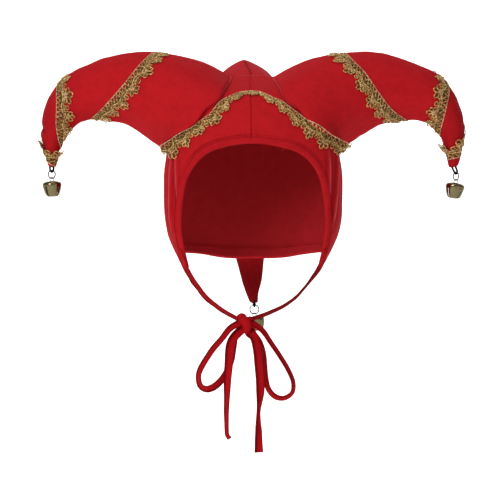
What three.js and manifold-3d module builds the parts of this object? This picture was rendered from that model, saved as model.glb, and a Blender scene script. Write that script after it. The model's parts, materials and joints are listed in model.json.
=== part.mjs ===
// A velvet jester hat: a hood with three stuffed horns, gold lace, small bells and a bow under the chin.
// Millimetres. +X is to the right as seen from the front, the hat faces -Y, and +Z is up.
// The origin is the inside top of the crown, where the hat sits on a head.
import * as THREE from "three";
import { mergeVertices } from "three/addons/utils/BufferGeometryUtils.js";
import Module from "manifold-3d";

const wasm = await Module();
wasm.setup();

// Hood, measured outside the cloth
const WALL = 2;
const HALF_WIDTH = 92;
const FRONT_DEPTH = 92;
const BACK_DEPTH = 112;
const DOME_HEIGHT = 80;
const HOOD_LENGTH = 188;
const CROWN_DROP = 16.5;
const PLEAT_DEPTH = 2.2;
const PLEAT_FADE = 0.13;

// Horns: reach is measured out from the hood's side or back, drop is measured down from the crown
const SIDE_REACH = 136;
const SIDE_DROP = 88.6;
const SIDE_PLUMP = 68;
const BACK_REACH = 62;
const BACK_DROP = 240;
const BACK_PLUMP = 50;
const SEAM_ROLL = 8;
const SEAM_LIFT = 1.5;
const CAP_LIFT = 5;
const CAP_INSET = 0.45;

// Lace and binding
const LACE_WIDTH = 16;
const LACE_THICK = 1.6;
const LACE_LIFT = 1;
const LACE_CHORD = 8;
const LACE_BRIDGE = 3.1;
const BRIDGE_REACH = 7;
const LOBE_PITCH = 18;
const LOBE_NOTCH = 0.36;
const LOBE_FULLNESS = 0.6;
const LACE_SEAM_GAP = 1.2;
const CROSSING = 0.13;
const CROSSING_BACK = 5;
const FRONT_END = 0.47;
const BINDING_WIDTH = 6.5;
const BINDING_THICK = 1;
const BINDING_SLOT = 0.6;
const JAW_NARROWING = 0.6;
const JAW_SLACK = 1;
const JAW_FOLD = 0.8;

// Bells and what they hang on
const GAP = 0.35;
const BELL_RADIUS = 10;
const BELL_HEIGHT = 17;
const BELL_WALL = 0.8;
const SLOT_WIDTH = 1.5;
const SLOT_HOLE = 1.6;
const SLOT_TOP = 0.56;
const PEA_RADIUS = 3;
const PEA_HEIGHT = 4;
const SHANK_RADIUS = 2.1;
const SHANK_WIRE = 0.8;
const RING_RADIUS = 4.5;
const RING_WIRE = 0.9;
const LOOP_CORD = 1.8;
const LOOP_DROP = 7;
const LOOP_HALF_WIDTH = 2;
const LOOP_START = 0.5;

// Tapes of the bow
const TAPE_WIDTH = 9.5;
const TAPE_THICK = 1.8;
const TAPE_STEP = 12.5;

// Numbers of facets
const SECTION_SIDES = 22;
const HORN_RINGS = 15;
const HOOD_ROWS = 10;
const ROW_CROWDING = 1.3;
const RING_CROWDING = 1.15;
const LOBE_STEPS = 4;
const BELL_SIDES = 12;
const WIRE_SIDES = 5;

const LEFT = -1;
const RIGHT = 1;

function table(names, ...rows) {
  return rows.map((row) => Object.fromEntries(names.map((name, i) => [name, row[i]])));
}

// Half-width and depth of the hood below its dome, down its length
const HOOD_TAPER = table(
  ["at", "wide", "deep"],
  [0.0, 1.0, 1.0],
  [0.43, 1.0, 1.0],
  [0.73, 0.995, 0.995],
  [0.84, 0.975, 0.985],
  [0.94, 0.925, 0.97],
  [1.0, 0.87, 0.95],
  [1.06, 0.81, 0.92],
);

// The hood's edge on one side, from the brow past the jaw point to the nape
const HOOD_EDGE = table(
  ["at", "across", "back", "down"],
  [0.0, 0.0, -1.0, 0.36],
  [0.06, 0.43, -0.95, 0.395],
  [0.1, 0.615, -0.88, 0.445],
  [0.14, 0.745, -0.81, 0.53],
  [0.2, 0.8, -0.76, 0.64],
  [0.27, 0.825, -0.7, 0.81],
  [0.33, 0.8, -0.65, 0.955],
  [0.365, 0.77, -0.52, 1.055],
  [0.39, 0.85, -0.38, 1.045],
  [0.425, 0.92, 0.0, 1.015],
  [0.455, 0.85, 0.5, 1.0],
  [0.475, 0.6, 0.84, 0.995],
  [0.5, 0.0, 1.0, 1.025],
);

// How many columns of facets each stretch of that edge takes
const EDGE_STEPS = table(
  ["from", "to", "steps"],
  [0.0, 0.14, 8],
  [0.14, 0.357, 7],
  [0.357, 0.365, 1],
  [0.365, 0.455, 10],
  [0.455, 0.5, 4],
);

// Pleats on each side of the hood: turn is in degrees back from the brow
const PLEATS = table(
  ["turn", "width", "rise", "top", "bottom"],
  [62, 9, 0.8, 0.4, 0.9],
  [76, 8, 1.0, 0.42, 0.98],
  [91, 9, 0.7, 0.44, 0.9],
);

// Where a side horn is sewn to the hood, once round from the top, over the front, under and up behind
const SIDE_SEAM = table(
  ["at", "across", "back", "up"],
  [0.0, 0.225, 0.03, 0.02],
  [0.06, 0.26, -0.25, -0.04],
  [0.13, 0.32, -0.73, -0.19],
  [0.22, 0.5, -0.8, -0.4],
  [0.29, 0.62, -0.82, -0.6],
  [0.37, 0.755, -0.72, -0.73],
  [0.44, 0.91, -0.42, -0.85],
  [0.5, 1.0, 0.03, -0.92],
  [0.56, 0.91, 0.42, -0.9],
  [0.64, 0.76, 0.68, -0.82],
  [0.73, 0.57, 0.8, -0.6],
  [0.82, 0.42, 0.74, -0.34],
  [0.9, 0.29, 0.5, -0.1],
  [0.96, 0.245, 0.25, 0.0],
);

// Where the back horn is sewn, from the ridge of the crown down one side to the nape
const BACK_SEAM = table(
  ["at", "across", "back", "up"],
  [0.0, 0.0, 0.075, 0.02],
  [0.05, 0.17, 0.09, 0.015],
  [0.1, 0.225, 0.27, -0.01],
  [0.16, 0.26, 0.5, -0.11],
  [0.22, 0.375, 0.75, -0.36],
  [0.29, 0.545, 0.83, -0.62],
  [0.37, 0.53, 0.88, -0.86],
  [0.43, 0.36, 0.95, -0.99],
  [0.5, 0.0, 1.0, -1.03],
);

// Sections of a side horn: its upper seam, its lower seam and its half-depth
const SIDE_SECTIONS = table(
  ["at", "topOut", "topUp", "underOut", "underUp", "depth", "topLean", "underLean"],
  [0.09, -0.34, 0.23, 0.06, -0.76, 0.96, -0.03, -0.03],
  [0.17, -0.2, 0.305, 0.14, -0.67, 0.84, -0.01, -0.01],
  [0.26, 0.0, 0.365, 0.24, -0.57, 0.705, 0.0, 0.0],
  [0.36, 0.205, 0.39, 0.35, -0.48, 0.59, 0.0, 0.0],
  [0.48, 0.445, 0.34, 0.505, -0.45, 0.5, 0.0, 0.0],
  [0.57, 0.64, 0.23, 0.61, -0.44, 0.425, 0.0, 0.0],
  [0.66, 0.82, 0.085, 0.715, -0.49, 0.35, 0.0, 0.0],
  [0.75, 0.93, -0.145, 0.785, -0.585, 0.285, 0.0, 0.0],
  [0.81, 0.985, -0.365, 0.825, -0.67, 0.225, 0.0, 0.0],
  [0.885, 1.0, -0.61, 0.845, -0.78, 0.165, 0.0, 0.0],
  [0.94, 0.975, -0.83, 0.87, -0.865, 0.1, 0.0, 0.0],
  [1.0, 0.945, -0.985, 0.89, -1.0, 0.055, 0.0, 0.0],
);

// Sections of the back horn, in the same columns
const BACK_SECTIONS = table(
  ["at", "topOut", "topUp", "underOut", "underUp", "depth", "topLean", "underLean"],
  [0.115, -0.9, 0.122, 0.113, -0.4, 0.71, -0.18, 0.06],
  [0.18, -0.355, 0.122, 0.16, -0.4375, 0.73, -0.17, 0.05],
  [0.265, 0.19, 0.055, 0.21, -0.475, 0.76, -0.15, 0.0],
  [0.36, 0.645, -0.083, 0.24, -0.517, 0.7, -0.12, -0.05],
  [0.47, 0.92, -0.258, 0.275, -0.57, 0.6, -0.1, -0.07],
  [0.58, 1.0, -0.44, 0.305, -0.633, 0.5, -0.09, -0.08],
  [0.69, 0.935, -0.617, 0.32, -0.708, 0.42, -0.08, -0.08],
  [0.8, 0.79, -0.767, 0.34, -0.8, 0.33, -0.06, -0.06],
  [0.895, 0.63, -0.883, 0.347, -0.892, 0.23, -0.02, -0.02],
  [0.96, 0.5, -0.958, 0.355, -0.9625, 0.13, 0.0, 0.0],
  [1.0, 0.47, -1.0, 0.39, -1.0, 0.09, 0.03, 0.03],
);

// The straight edge of the lace that winds round each side horn: turns round it, and how far along it
const LACE_WIND = table(
  ["at", "left", "right"],
  [-0.08, 0.3, 0.265],
  [0.0, 0.32, 0.285],
  [0.25, 0.455, 0.41],
  [0.5, 0.575, 0.525],
  [0.75, 0.64, 0.61],
  [1.0, 0.7, 0.7],
  [1.25, 0.785, 0.77],
  [1.5, 0.85, 0.825],
  [1.75, 0.897, 0.88],
  [2.0, 0.935, 0.925],
  [2.25, 0.955, 0.945],
  [2.5, 0.965, 0.955],
  [2.75, 0.97, 0.96],
);

// Outside of a bell from its mouth up, as shares of its radius and height
const BELL_PROFILE = table(
  ["out", "up"],
  [0.0, 0.0],
  [0.5, 0.03],
  [0.8, 0.27],
  [0.98, 0.68],
  [0.94, 0.82],
  [0.55, 0.95],
  [0.0, 1.0],
);

// Routes of the tapes: places in mm, and how far the flat side is turned from the front, in degrees
const ROUTE = ["x", "y", "z", "twist"];
const TIE_LEFT = table(
  ROUTE,
  [-70.5, -49.7, -198.1, 35],
  [-64.5, -56, -208, 45],
  [-56.5, -60, -219.5, 48],
  [-47, -65, -230.5, 50],
  [-36, -68, -239, 50],
  [-25.5, -70, -245.5, 45],
  [-16.1, -71.5, -250.7, 40],
);
const TIE_RIGHT = table(
  ROUTE,
  [70, -49.7, -197.9, -35],
  [63.5, -56, -207, -60],
  [56, -60, -217, -65],
  [46.5, -64, -227.5, -64],
  [34.5, -67, -236.5, -62],
  [20.5, -70, -243.5, -58],
  [0.8, -71.5, -250.8, -50],
);
const BOW_LOOP_LEFT = table(
  ROUTE,
  [-15, -74, -256.4, 40],
  [-24, -77, -262, 50],
  [-33, -79, -273, 55],
  [-43, -80, -285, 55],
  [-51.5, -80, -298.5, 55],
  [-56, -79, -309.5, 50],
  [-54.5, -77, -320, 50],
  [-47.5, -74, -324, 50],
  [-38, -71, -320.5, 50],
  [-29.5, -68, -311, 50],
  [-22.5, -66, -296, 50],
  [-19.5, -65, -280, 50],
  [-17.5, -65.5, -268, 50],
  [-13.5, -67, -261.5, 50],
);
const BOW_LOOP_RIGHT = table(
  ROUTE,
  [1.7, -74, -257.6, -50],
  [10.5, -77, -264, -58],
  [18.5, -79, -275.5, -60],
  [28.5, -80, -290, -60],
  [37, -80, -304, -60],
  [42, -79, -316.5, -60],
  [41, -77, -327.5, -58],
  [33, -75, -333.5, -58],
  [23.5, -73, -332, -58],
  [16.5, -71, -323.5, -55],
  [14, -69, -310, -55],
  [12, -68, -289, -55],
  [8, -68, -275.5, -55],
  [1, -68.5, -266, -50],
);
const TIE_TAIL_LEFT = table(
  ROUTE,
  [-11.6, -72, -262.6, 10],
  [-19, -74.5, -270, 10],
  [-23, -76, -279, 10],
  [-24.5, -76, -295, 14],
  [-26, -75, -315, 30],
  [-26.5, -75, -336, 52],
  [-27, -75, -357, 58],
  [-26.5, -75, -371, 58],
  [-24.5, -75, -375.5, 55],
);
const TIE_TAIL_RIGHT = table(
  ROUTE,
  [-3.5, -72, -266, -20],
  [1.5, -74.5, -270.5, -20],
  [4.5, -76, -283, -25],
  [6.5, -76, -300, -15],
  [8, -75, -320, -15],
  [7, -75, -338, -55],
  [6, -75, -350, -68],
  [6, -75, -368, -45],
  [6.5, -75, -390.5, -18],
);

// The knot: a wrap of tape with a lump at its upper left and a point below
const KNOT_CENTRE = new THREE.Vector3(-6.5, -71.5, -256);
const KNOT_SIZE = new THREE.Vector3(8, 6.5, 8.5);
const KNOT_LUMPS = table(
  ["x", "y", "z", "rise", "spread"],
  [-0.7, -0.1, 0.7, 0.42, 0.5],
  [0.05, 0.0, -1.0, 0.28, 0.35],
  [0.6, -0.3, 0.5, 0.15, 0.4],
);

const VELVET = { color: 0xa8141c, roughness: 0.85, metalness: 0 };
const TAPE = { color: 0x9c1319, roughness: 0.7, metalness: 0 };
const LACE = { color: 0xb08d45, roughness: 0.5, metalness: 0.6 };
const BRASS = { color: 0xb9ad86, roughness: 0.25, metalness: 1 };
const SILVER = { color: 0xc8c8c8, roughness: 0.2, metalness: 1 };
const CORD = { color: 0x151515, roughness: 0.8, metalness: 0 };

// A smooth curve through the rows of a table: every column at one place along it.
function follow(rows, at) {
  const last = rows.length - 1;
  let i = 0;
  while (i < last - 1 && at > rows[i + 1].at) i++;
  const a = rows[i];
  const b = rows[i + 1];
  const span = b.at - a.at;
  const t = (at - a.at) / span;
  const slope = (k, name) => {
    const before = rows[Math.max(k - 1, 0)];
    const after = rows[Math.min(k + 1, last)];
    return ((after[name] - before[name]) / (after.at - before.at)) * span;
  };
  const point = {};
  for (const name of Object.keys(a)) {
    const p = a[name];
    const q = b[name];
    const m = slope(i, name);
    const n = slope(i + 1, name);
    point[name] = ((2 * p - 2 * q + m + n) * t + 3 * q - 3 * p - 2 * m - n) * t * t + m * t + p;
  }
  return point;
}

// The same rows again a turn before and a turn after, so that a closed line has no ends.
function around(rows) {
  const moved = (turn) => rows.map((row) => ({ ...row, at: row.at + turn }));
  return [...moved(-1), ...rows, ...moved(1)];
}

// One half of a mirrored line, made whole: the other half has its across column reversed.
function bothSides(rows) {
  const other = rows.slice(1, -1).reverse();
  return [...rows, ...other.map((row) => ({ ...row, at: 1 - row.at, across: -row.across }))];
}

function mesh(name, geometry, look) {
  const made = new THREE.Mesh(geometry, new THREE.MeshStandardMaterial(look));
  made.name = name;
  return made;
}

// A closed body through rings of equally many points. Each end closes on a point, or on the ring's middle,
// or on the flat faces given as triples of the ring's points.
function skin(rings, start, end, flat) {
  const sides = rings[0].length;
  const middle = (ring) =>
    ring.reduce((sum, p) => sum.add(p), new THREE.Vector3()).divideScalar(ring.length);
  const points = [...rings.flat(), start ?? middle(rings[0]), end ?? middle(rings.at(-1))];
  const first = points.length - 2;
  const faces = [];
  const tail = (rings.length - 1) * sides;
  for (let j = 0; j < sides; j++) {
    const next = (j + 1) % sides;
    for (let i = 0; i < rings.length - 1; i++) {
      const a = i * sides;
      const b = a + sides;
      faces.push([a + j, a + next, b + next], [a + j, b + next, b + j]);
    }
    if (!flat) faces.push([first, next, j], [first + 1, tail + j, tail + next]);
  }
  for (const [a, b, c] of flat ?? []) faces.push([c, b, a], [tail + a, tail + b, tail + c]);
  let volume = 0;
  for (const [a, b, c] of faces) {
    volume += points[a].dot(new THREE.Vector3().crossVectors(points[b], points[c]));
  }
  const index = volume < 0 ? faces.map((face) => face.reverse()) : faces;
  const geometry = new THREE.BufferGeometry().setFromPoints(points);
  geometry.setIndex(index.flat());
  geometry.computeVertexNormals();
  return geometry;
}

// Hood

// Powers of the hood's rounding: 2 is an ellipse, more is squarer
const ROUND_SIDES = 2.2;
const ROUND_FRONT = 4;
const ROUND_TOP = 3.1;
const HOOD_CENTRE = new THREE.Vector3(0, 0, -DOME_HEIGHT);
const CROWN_POLE = new THREE.Vector3(0, 0.35, 0.94).normalize();

// 1 on the hood's outside, less inside it: a dome above, tapering walls below.
function hoodField(p) {
  const taper = follow(HOOD_TAPER, THREE.MathUtils.clamp(-p.z / HOOD_LENGTH, 0, 1.06));
  const inFront = p.y < 0;
  const depth = (inFront ? FRONT_DEPTH : BACK_DEPTH) * taper.deep;
  const drop = inFront ? (CROWN_DROP * -p.y) / FRONT_DEPTH : 0;
  const height = Math.max(p.z + drop + DOME_HEIGHT, 0) / (DOME_HEIGHT + WALL);
  const across = Math.abs(p.x) / (HALF_WIDTH * taper.wide);
  const along = (Math.abs(p.y) / depth) ** (inFront ? ROUND_FRONT : ROUND_SIDES);
  return across ** ROUND_SIDES + along + height ** ROUND_TOP;
}

// Pleats raise the side of the hood a little. They run down from under the horns and fade out at both ends.
function pleatRise(p) {
  const turn = THREE.MathUtils.radToDeg(Math.atan2(Math.abs(p.x), -p.y));
  const down = -p.z / HOOD_LENGTH;
  let rise = 0;
  for (const pleat of PLEATS) {
    const beside = (turn - pleat.turn) / pleat.width;
    const start = THREE.MathUtils.smoothstep(down, pleat.top, pleat.top + PLEAT_FADE);
    const end = 1 - THREE.MathUtils.smoothstep(down, pleat.bottom - PLEAT_FADE, pleat.bottom);
    rise += PLEAT_DEPTH * pleat.rise * Math.exp(-beside * beside) * start * end;
  }
  return rise;
}

// The point on the hood's outside in the direction of p from the hood's centre, lifted off it.
function onHood(p, lift = 0) {
  const ray = p.clone().sub(HOOD_CENTRE).normalize();
  let low = 0;
  let high = 2 * HOOD_LENGTH;
  for (let i = 0; i < 32; i++) {
    const middle = (low + high) / 2;
    if (hoodField(HOOD_CENTRE.clone().addScaledVector(ray, middle)) < 1) low = middle;
    else high = middle;
  }
  const found = HOOD_CENTRE.clone().addScaledVector(ray, low);
  return found.addScaledVector(ray, lift + pleatRise(found));
}

function hoodPlace(row) {
  const deep = row.back < 0 ? FRONT_DEPTH : BACK_DEPTH;
  const z = row.down === undefined ? row.up * DOME_HEIGHT : -row.down * HOOD_LENGTH;
  return new THREE.Vector3(row.across * HALF_WIDTH, row.back * deep, z);
}

const HOOD_EDGE_LOOP = around(bothSides(HOOD_EDGE));

function edgePoint(at, lift = 0) {
  return onHood(hoodPlace(follow(HOOD_EDGE_LOOP, at)), lift);
}

// Places along one side of the edge, and then along the other
function edgeStops() {
  const half = EDGE_STEPS.flatMap(({ from, to, steps }) =>
    Array.from({ length: steps }, (_, i) => from + ((to - from) * i) / steps),
  );
  return [...half, 0.5, ...half.slice(1).reverse().map((at) => 1 - at)];
}

function makeHood() {
  const stops = edgeStops();
  const pole = onHood(HOOD_CENTRE.clone().add(CROWN_POLE));
  const shell = (row, lift) =>
    stops.map((at) => {
      const edge = onHood(hoodPlace(follow(HOOD_EDGE_LOOP, at))).sub(HOOD_CENTRE).normalize();
      const bend = CROWN_POLE.angleTo(edge);
      const share = 1 - (1 - row / HOOD_ROWS) ** ROW_CROWDING;
      const direction = CROWN_POLE.clone().multiplyScalar(Math.sin((1 - share) * bend));
      direction.addScaledVector(edge, Math.sin(share * bend));
      return onHood(direction.add(HOOD_CENTRE), lift);
    });
  const rows = Array.from({ length: HOOD_ROWS }, (_, i) => i + 1);
  const outside = rows.map((row) => shell(row, 0));
  const inside = rows.map((row) => shell(row, -WALL)).reverse();
  const innerPole = pole.clone().addScaledVector(CROWN_POLE, -WALL);
  return mesh("hood", skin([...outside, ...inside], pole, innerPole), VELVET);
}

// Where along the edge the folded tape starts to narrow towards the jaw point
const JAW_FROM = 0.28;

// The tape folded over the face edge, from one jaw point over the brow to the other
function makeFaceBinding() {
  const jaw = EDGE_STEPS[1].to;
  const stops = edgeStops().filter((at) => at <= jaw || at >= 1 - jaw);
  const along = stops.map((at) => (at > 0.5 ? at - 1 : at)).sort((a, b) => a - b);
  const under = -WALL - BINDING_SLOT;
  const section = [
    [BINDING_WIDTH, BINDING_SLOT],
    [BINDING_WIDTH, BINDING_SLOT + BINDING_THICK],
    [0, BINDING_SLOT + BINDING_THICK],
    [-BINDING_SLOT - BINDING_THICK, -WALL / 2],
    [0, under - BINDING_THICK],
    [BINDING_WIDTH, under - BINDING_THICK],
    [BINDING_WIDTH, under],
    [-BINDING_SLOT / 2, under],
    [-BINDING_SLOT / 2, BINDING_SLOT],
  ];
  const rings = along.map((at, i) => {
    const here = edgePoint(at);
    const before = edgePoint(along[Math.max(i - 1, 0)]);
    const after = edgePoint(along[Math.min(i + 1, along.length - 1)]);
    const out = here.clone().sub(HOOD_CENTRE).normalize();
    const away = new THREE.Vector3().crossVectors(after.sub(before), out).normalize();
    const nearJaw = THREE.MathUtils.smoothstep(Math.abs(at), JAW_FROM, jaw);
    const narrow = 1 - JAW_NARROWING * nearJaw;
    return section.map(([off, lift]) => {
      const slack = JAW_SLACK * nearJaw * Math.sign(lift + WALL / 2);
      const reach = off < 0 ? JAW_FOLD * nearJaw - off : -off * narrow;
      return onHood(here.clone().addScaledVector(away, reach), lift + slack);
    });
  });
  const flatSection = section.map(([off, lift]) => new THREE.Vector2(off, lift));
  const ends = THREE.ShapeUtils.triangulateShape(flatSection, []);
  return mesh("face_binding", skin(rings, null, null, ends), VELVET);
}

// Horns

const FULLNESS = 2.6;
const SEAM_EASE = 0.3;

// A horn is described by how its tables turn into places: out from the hood, lean across it, and up.
function hornKind(name, seam, sections, place, face, sizes) {
  return { name, seam: around(seam), sections, place, face, ...sizes };
}

const sideSizes = { reach: SIDE_REACH, drop: SIDE_DROP, plump: SIDE_PLUMP, from: HALF_WIDTH };
const backSizes = { reach: BACK_REACH, drop: BACK_DROP, plump: BACK_PLUMP, from: BACK_DEPTH };

function sideHorn(name, side) {
  const seam = SIDE_SEAM.map((row) => ({ ...row, across: row.across * side }));
  const place = (out, lean, up) => new THREE.Vector3(side * out, lean, up);
  return hornKind(name, seam, SIDE_SECTIONS, place, new THREE.Vector3(0, -1, 0), sideSizes);
}

function backHorn(name) {
  const place = (out, lean, up) => new THREE.Vector3(lean, out, up);
  return hornKind(name, bothSides(BACK_SEAM), BACK_SECTIONS, place, new THREE.Vector3(1, 0, 0), backSizes);
}

// The point of a horn's section at a share of a turn from its upper seam: two bowed faces meet at the seams.
function sectionPoint(horn, row, turn) {
  const part = turn - Math.floor(turn);
  const facing = part < 0.5 ? 1 : -1;
  const even = 1 - 4 * (part < 0.5 ? part : 1 - part);
  const height = even * (1 + SEAM_EASE - SEAM_EASE * even * even);
  const topLean = row.topLean * horn.plump;
  const underLean = row.underLean * horn.plump;
  const top = horn.place(horn.from + row.topOut * horn.reach, topLean, row.topUp * horn.drop);
  const under = horn.place(horn.from + row.underOut * horn.reach, underLean, row.underUp * horn.drop);
  const bow = row.depth * horn.plump * (1 - Math.abs(height) ** FULLNESS) * facing;
  return under.lerp(top, (1 + height) / 2).addScaledVector(horn.face, bow);
}

// The middle of the horn's section nearest to a place along it
function middleOf(horn, along) {
  const off = (row) => Math.abs(row.at - along);
  const row = horn.sections.reduce((best, other) => (off(other) < off(best) ? other : best));
  return sectionPoint(horn, row, 0).lerp(sectionPoint(horn, row, 0.5), 0.5);
}

function seamPoint(horn, turn, lift = SEAM_LIFT) {
  return onHood(hoodPlace(follow(horn.seam, turn - Math.floor(turn))), lift);
}

// A point of a horn's surface: it rolls up off the hood at its seam, then runs through the sections.
function hornPoint(horn, turn, along) {
  const seam = { at: 0, ...seamPoint(horn, turn) };
  const roll = { at: horn.sections[0].at / 3, ...seamPoint(horn, turn, SEAM_LIFT + SEAM_ROLL) };
  const rest = horn.sections.map((row) => ({ at: row.at, ...sectionPoint(horn, row, turn) }));
  const found = follow([seam, roll, ...rest], along);
  return new THREE.Vector3(found.x, found.y, found.z);
}

function makeHorn(horn) {
  const turns = Array.from({ length: SECTION_SIDES }, (_, j) => j / SECTION_SIDES);
  const seam = turns.map((turn) => seamPoint(horn, turn));
  const middle = seam.reduce((sum, p) => sum.add(p), new THREE.Vector3()).divideScalar(seam.length);
  const capRing = seam.map((p) => onHood(p.clone().lerp(middle, CAP_INSET), CAP_LIFT));
  const rings = [capRing, seam];
  for (let i = 1; i <= HORN_RINGS; i++) {
    const along = (i / HORN_RINGS) ** RING_CROWDING;
    rings.push(turns.map((turn) => hornPoint(horn, turn, along)));
  }
  return mesh(horn.name, skin(rings, onHood(middle, CAP_LIFT)), VELVET);
}

// Lace

// The depth of the lace at a share of one scallop
function lobeWidth(share) {
  return LACE_WIDTH * (1 - LOBE_NOTCH + LOBE_NOTCH * Math.abs(Math.sin(Math.PI * share)) ** LOBE_FULLNESS);
}

// A run of lace: its straight edge lies on the header points, and down(i, width) goes across it.
function makeLace(name, count, down) {
  const rings = [];
  for (let i = 0; i <= count; i++) {
    const width = lobeWidth(i / LOBE_STEPS);
    const lower = LACE_LIFT;
    const upper = LACE_LIFT + LACE_THICK;
    rings.push([
      down(i, 0, lower),
      down(i, width / 2, lower),
      down(i, width, lower),
      down(i, width, upper),
      down(i, width / 2, upper),
      down(i, 0, upper),
    ]);
  }
  return mesh(name, skin(rings), LACE);
}

// How many short steps a line is measured in
const FINE_STEPS = 400;

// Evenly spaced places along a line, as many as give whole scallops
function evenStops(pointAt, from, to) {
  const lengths = [0];
  let before = pointAt(from);
  for (let i = 1; i <= FINE_STEPS; i++) {
    const here = pointAt(from + ((to - from) * i) / FINE_STEPS);
    lengths.push(lengths.at(-1) + here.distanceTo(before));
    before = here;
  }
  const lobes = Math.round(lengths.at(-1) / LOBE_PITCH);
  const count = lobes * LOBE_STEPS;
  const stops = [];
  for (let k = 0; k <= count; k++) {
    const want = (lengths.at(-1) * k) / count;
    const i = Math.max(lengths.findIndex((length) => length >= want - 1e-9), 1);
    const share = (want - lengths[i - 1]) / (lengths[i] - lengths[i - 1]);
    stops.push(from + ((to - from) * (i - 1 + share)) / FINE_STEPS);
  }
  return stops;
}

function makeFrontLace() {
  const left = sideHorn("", LEFT);
  const right = sideHorn("", RIGHT);
  // The header runs up beside one horn's seam, over the crown, and down beside the other's
  const header = (s) => {
    if (s < -CROSSING) return seamPoint(left, -s, 0);
    if (s > CROSSING) return seamPoint(right, s, 0);
    const a = seamPoint(left, CROSSING, 0);
    const b = seamPoint(right, CROSSING, 0);
    const back = CROSSING_BACK * (1 - (s / CROSSING) ** 2);
    return onHood(a.lerp(b, (s + CROSSING) / (2 * CROSSING)).add(new THREE.Vector3(0, back, 0)));
  };
  const stops = evenStops(header, -FRONT_END, FRONT_END);
  const frames = stops.map((s, i) => {
    const here = header(s);
    const before = header(stops[Math.max(i - 1, 0)]);
    const after = header(stops[Math.min(i + 1, stops.length - 1)]);
    const out = here.clone().sub(HOOD_CENTRE).normalize();
    const away = new THREE.Vector3().crossVectors(out, after.sub(before)).normalize();
    return { here, away };
  });
  const down = (i, width, lift) => {
    const { here, away } = frames[i];
    return onHood(here.clone().addScaledVector(away, -(width + LACE_SEAM_GAP)), lift);
  };
  return makeLace("trim_front", stops.length - 1, down);
}

// A small share of a turn or of a horn's length, for reading its slope, and the steps across the lace
const NUDGE = 0.004;
const STRIDES = 3;

// Goes across a horn's surface from one place on it, square to a line, by a width in mm.
function acrossHorn(horn, turn, along, lineTo, width, lift) {
  const slope = (ahead, behind) => ahead.sub(behind).divideScalar(2 * NUDGE);
  let t = turn;
  let a = along;
  let out = new THREE.Vector3();
  for (let k = 0; k <= STRIDES; k++) {
    const here = hornPoint(horn, t, a);
    const round = slope(hornPoint(horn, t + NUDGE, a), hornPoint(horn, t - NUDGE, a));
    const ahead = slope(hornPoint(horn, t, a + NUDGE), hornPoint(horn, t, a - NUDGE));
    out = new THREE.Vector3().crossVectors(round, ahead).normalize();
    if (out.dot(here.clone().sub(middleOf(horn, a))) < 0) out.negate();
    if (k === STRIDES) {
      const part = t * 2 - Math.floor(t * 2);
      const fromSeam = (Math.min(part, 1 - part) / 2) * round.length();
      const bridge = LACE_BRIDGE * Math.max(0, 1 - fromSeam / BRIDGE_REACH);
      const bulge = LACE_CHORD ** 2 / ((8 * round.length()) / (2 * Math.PI));
      return here.addScaledVector(out, lift + bridge + bulge);
    }
    const away = new THREE.Vector3().crossVectors(out, lineTo).normalize();
    if (away.dot(ahead) > 0) away.negate();
    away.multiplyScalar(width / STRIDES);
    const [rr, ra, aa] = [round.dot(round), round.dot(ahead), ahead.dot(ahead)];
    const [r, s] = [away.dot(round), away.dot(ahead)];
    const scale = rr * aa - ra * ra;
    t += (r * aa - s * ra) / scale;
    a += (s * rr - r * ra) / scale;
  }
}

function makeHornLace(name, horn, side) {
  const header = (turn) => hornPoint(horn, turn, follow(LACE_WIND, turn)[side]);
  const stops = evenStops(header, LACE_WIND[0].at, LACE_WIND.at(-1).at);
  const down = (i, width, lift) => {
    const before = header(stops[Math.max(i - 1, 0)]);
    const after = header(stops[Math.min(i + 1, stops.length - 1)]);
    const along = follow(LACE_WIND, stops[i])[side];
    return acrossHorn(horn, stops[i], along, after.sub(before), width, lift);
  };
  return makeLace(name, stops.length - 1, down);
}

// Bells

function solid(geometry) {
  const bare = geometry.clone();
  bare.deleteAttribute("normal");
  bare.deleteAttribute("uv");
  const merged = mergeVertices(bare, 1e-3);
  const triVerts = new Uint32Array(merged.index.array);
  const vertProperties = merged.attributes.position.array;
  return new wasm.Manifold(new wasm.Mesh({ numProp: 3, vertProperties, triVerts }));
}

function geometryOf(body) {
  const made = body.getMesh();
  const geometry = new THREE.BufferGeometry();
  geometry.setAttribute("position", new THREE.BufferAttribute(made.vertProperties, 3));
  geometry.setIndex(new THREE.BufferAttribute(made.triVerts, 1));
  geometry.computeVertexNormals();
  return geometry;
}

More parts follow.
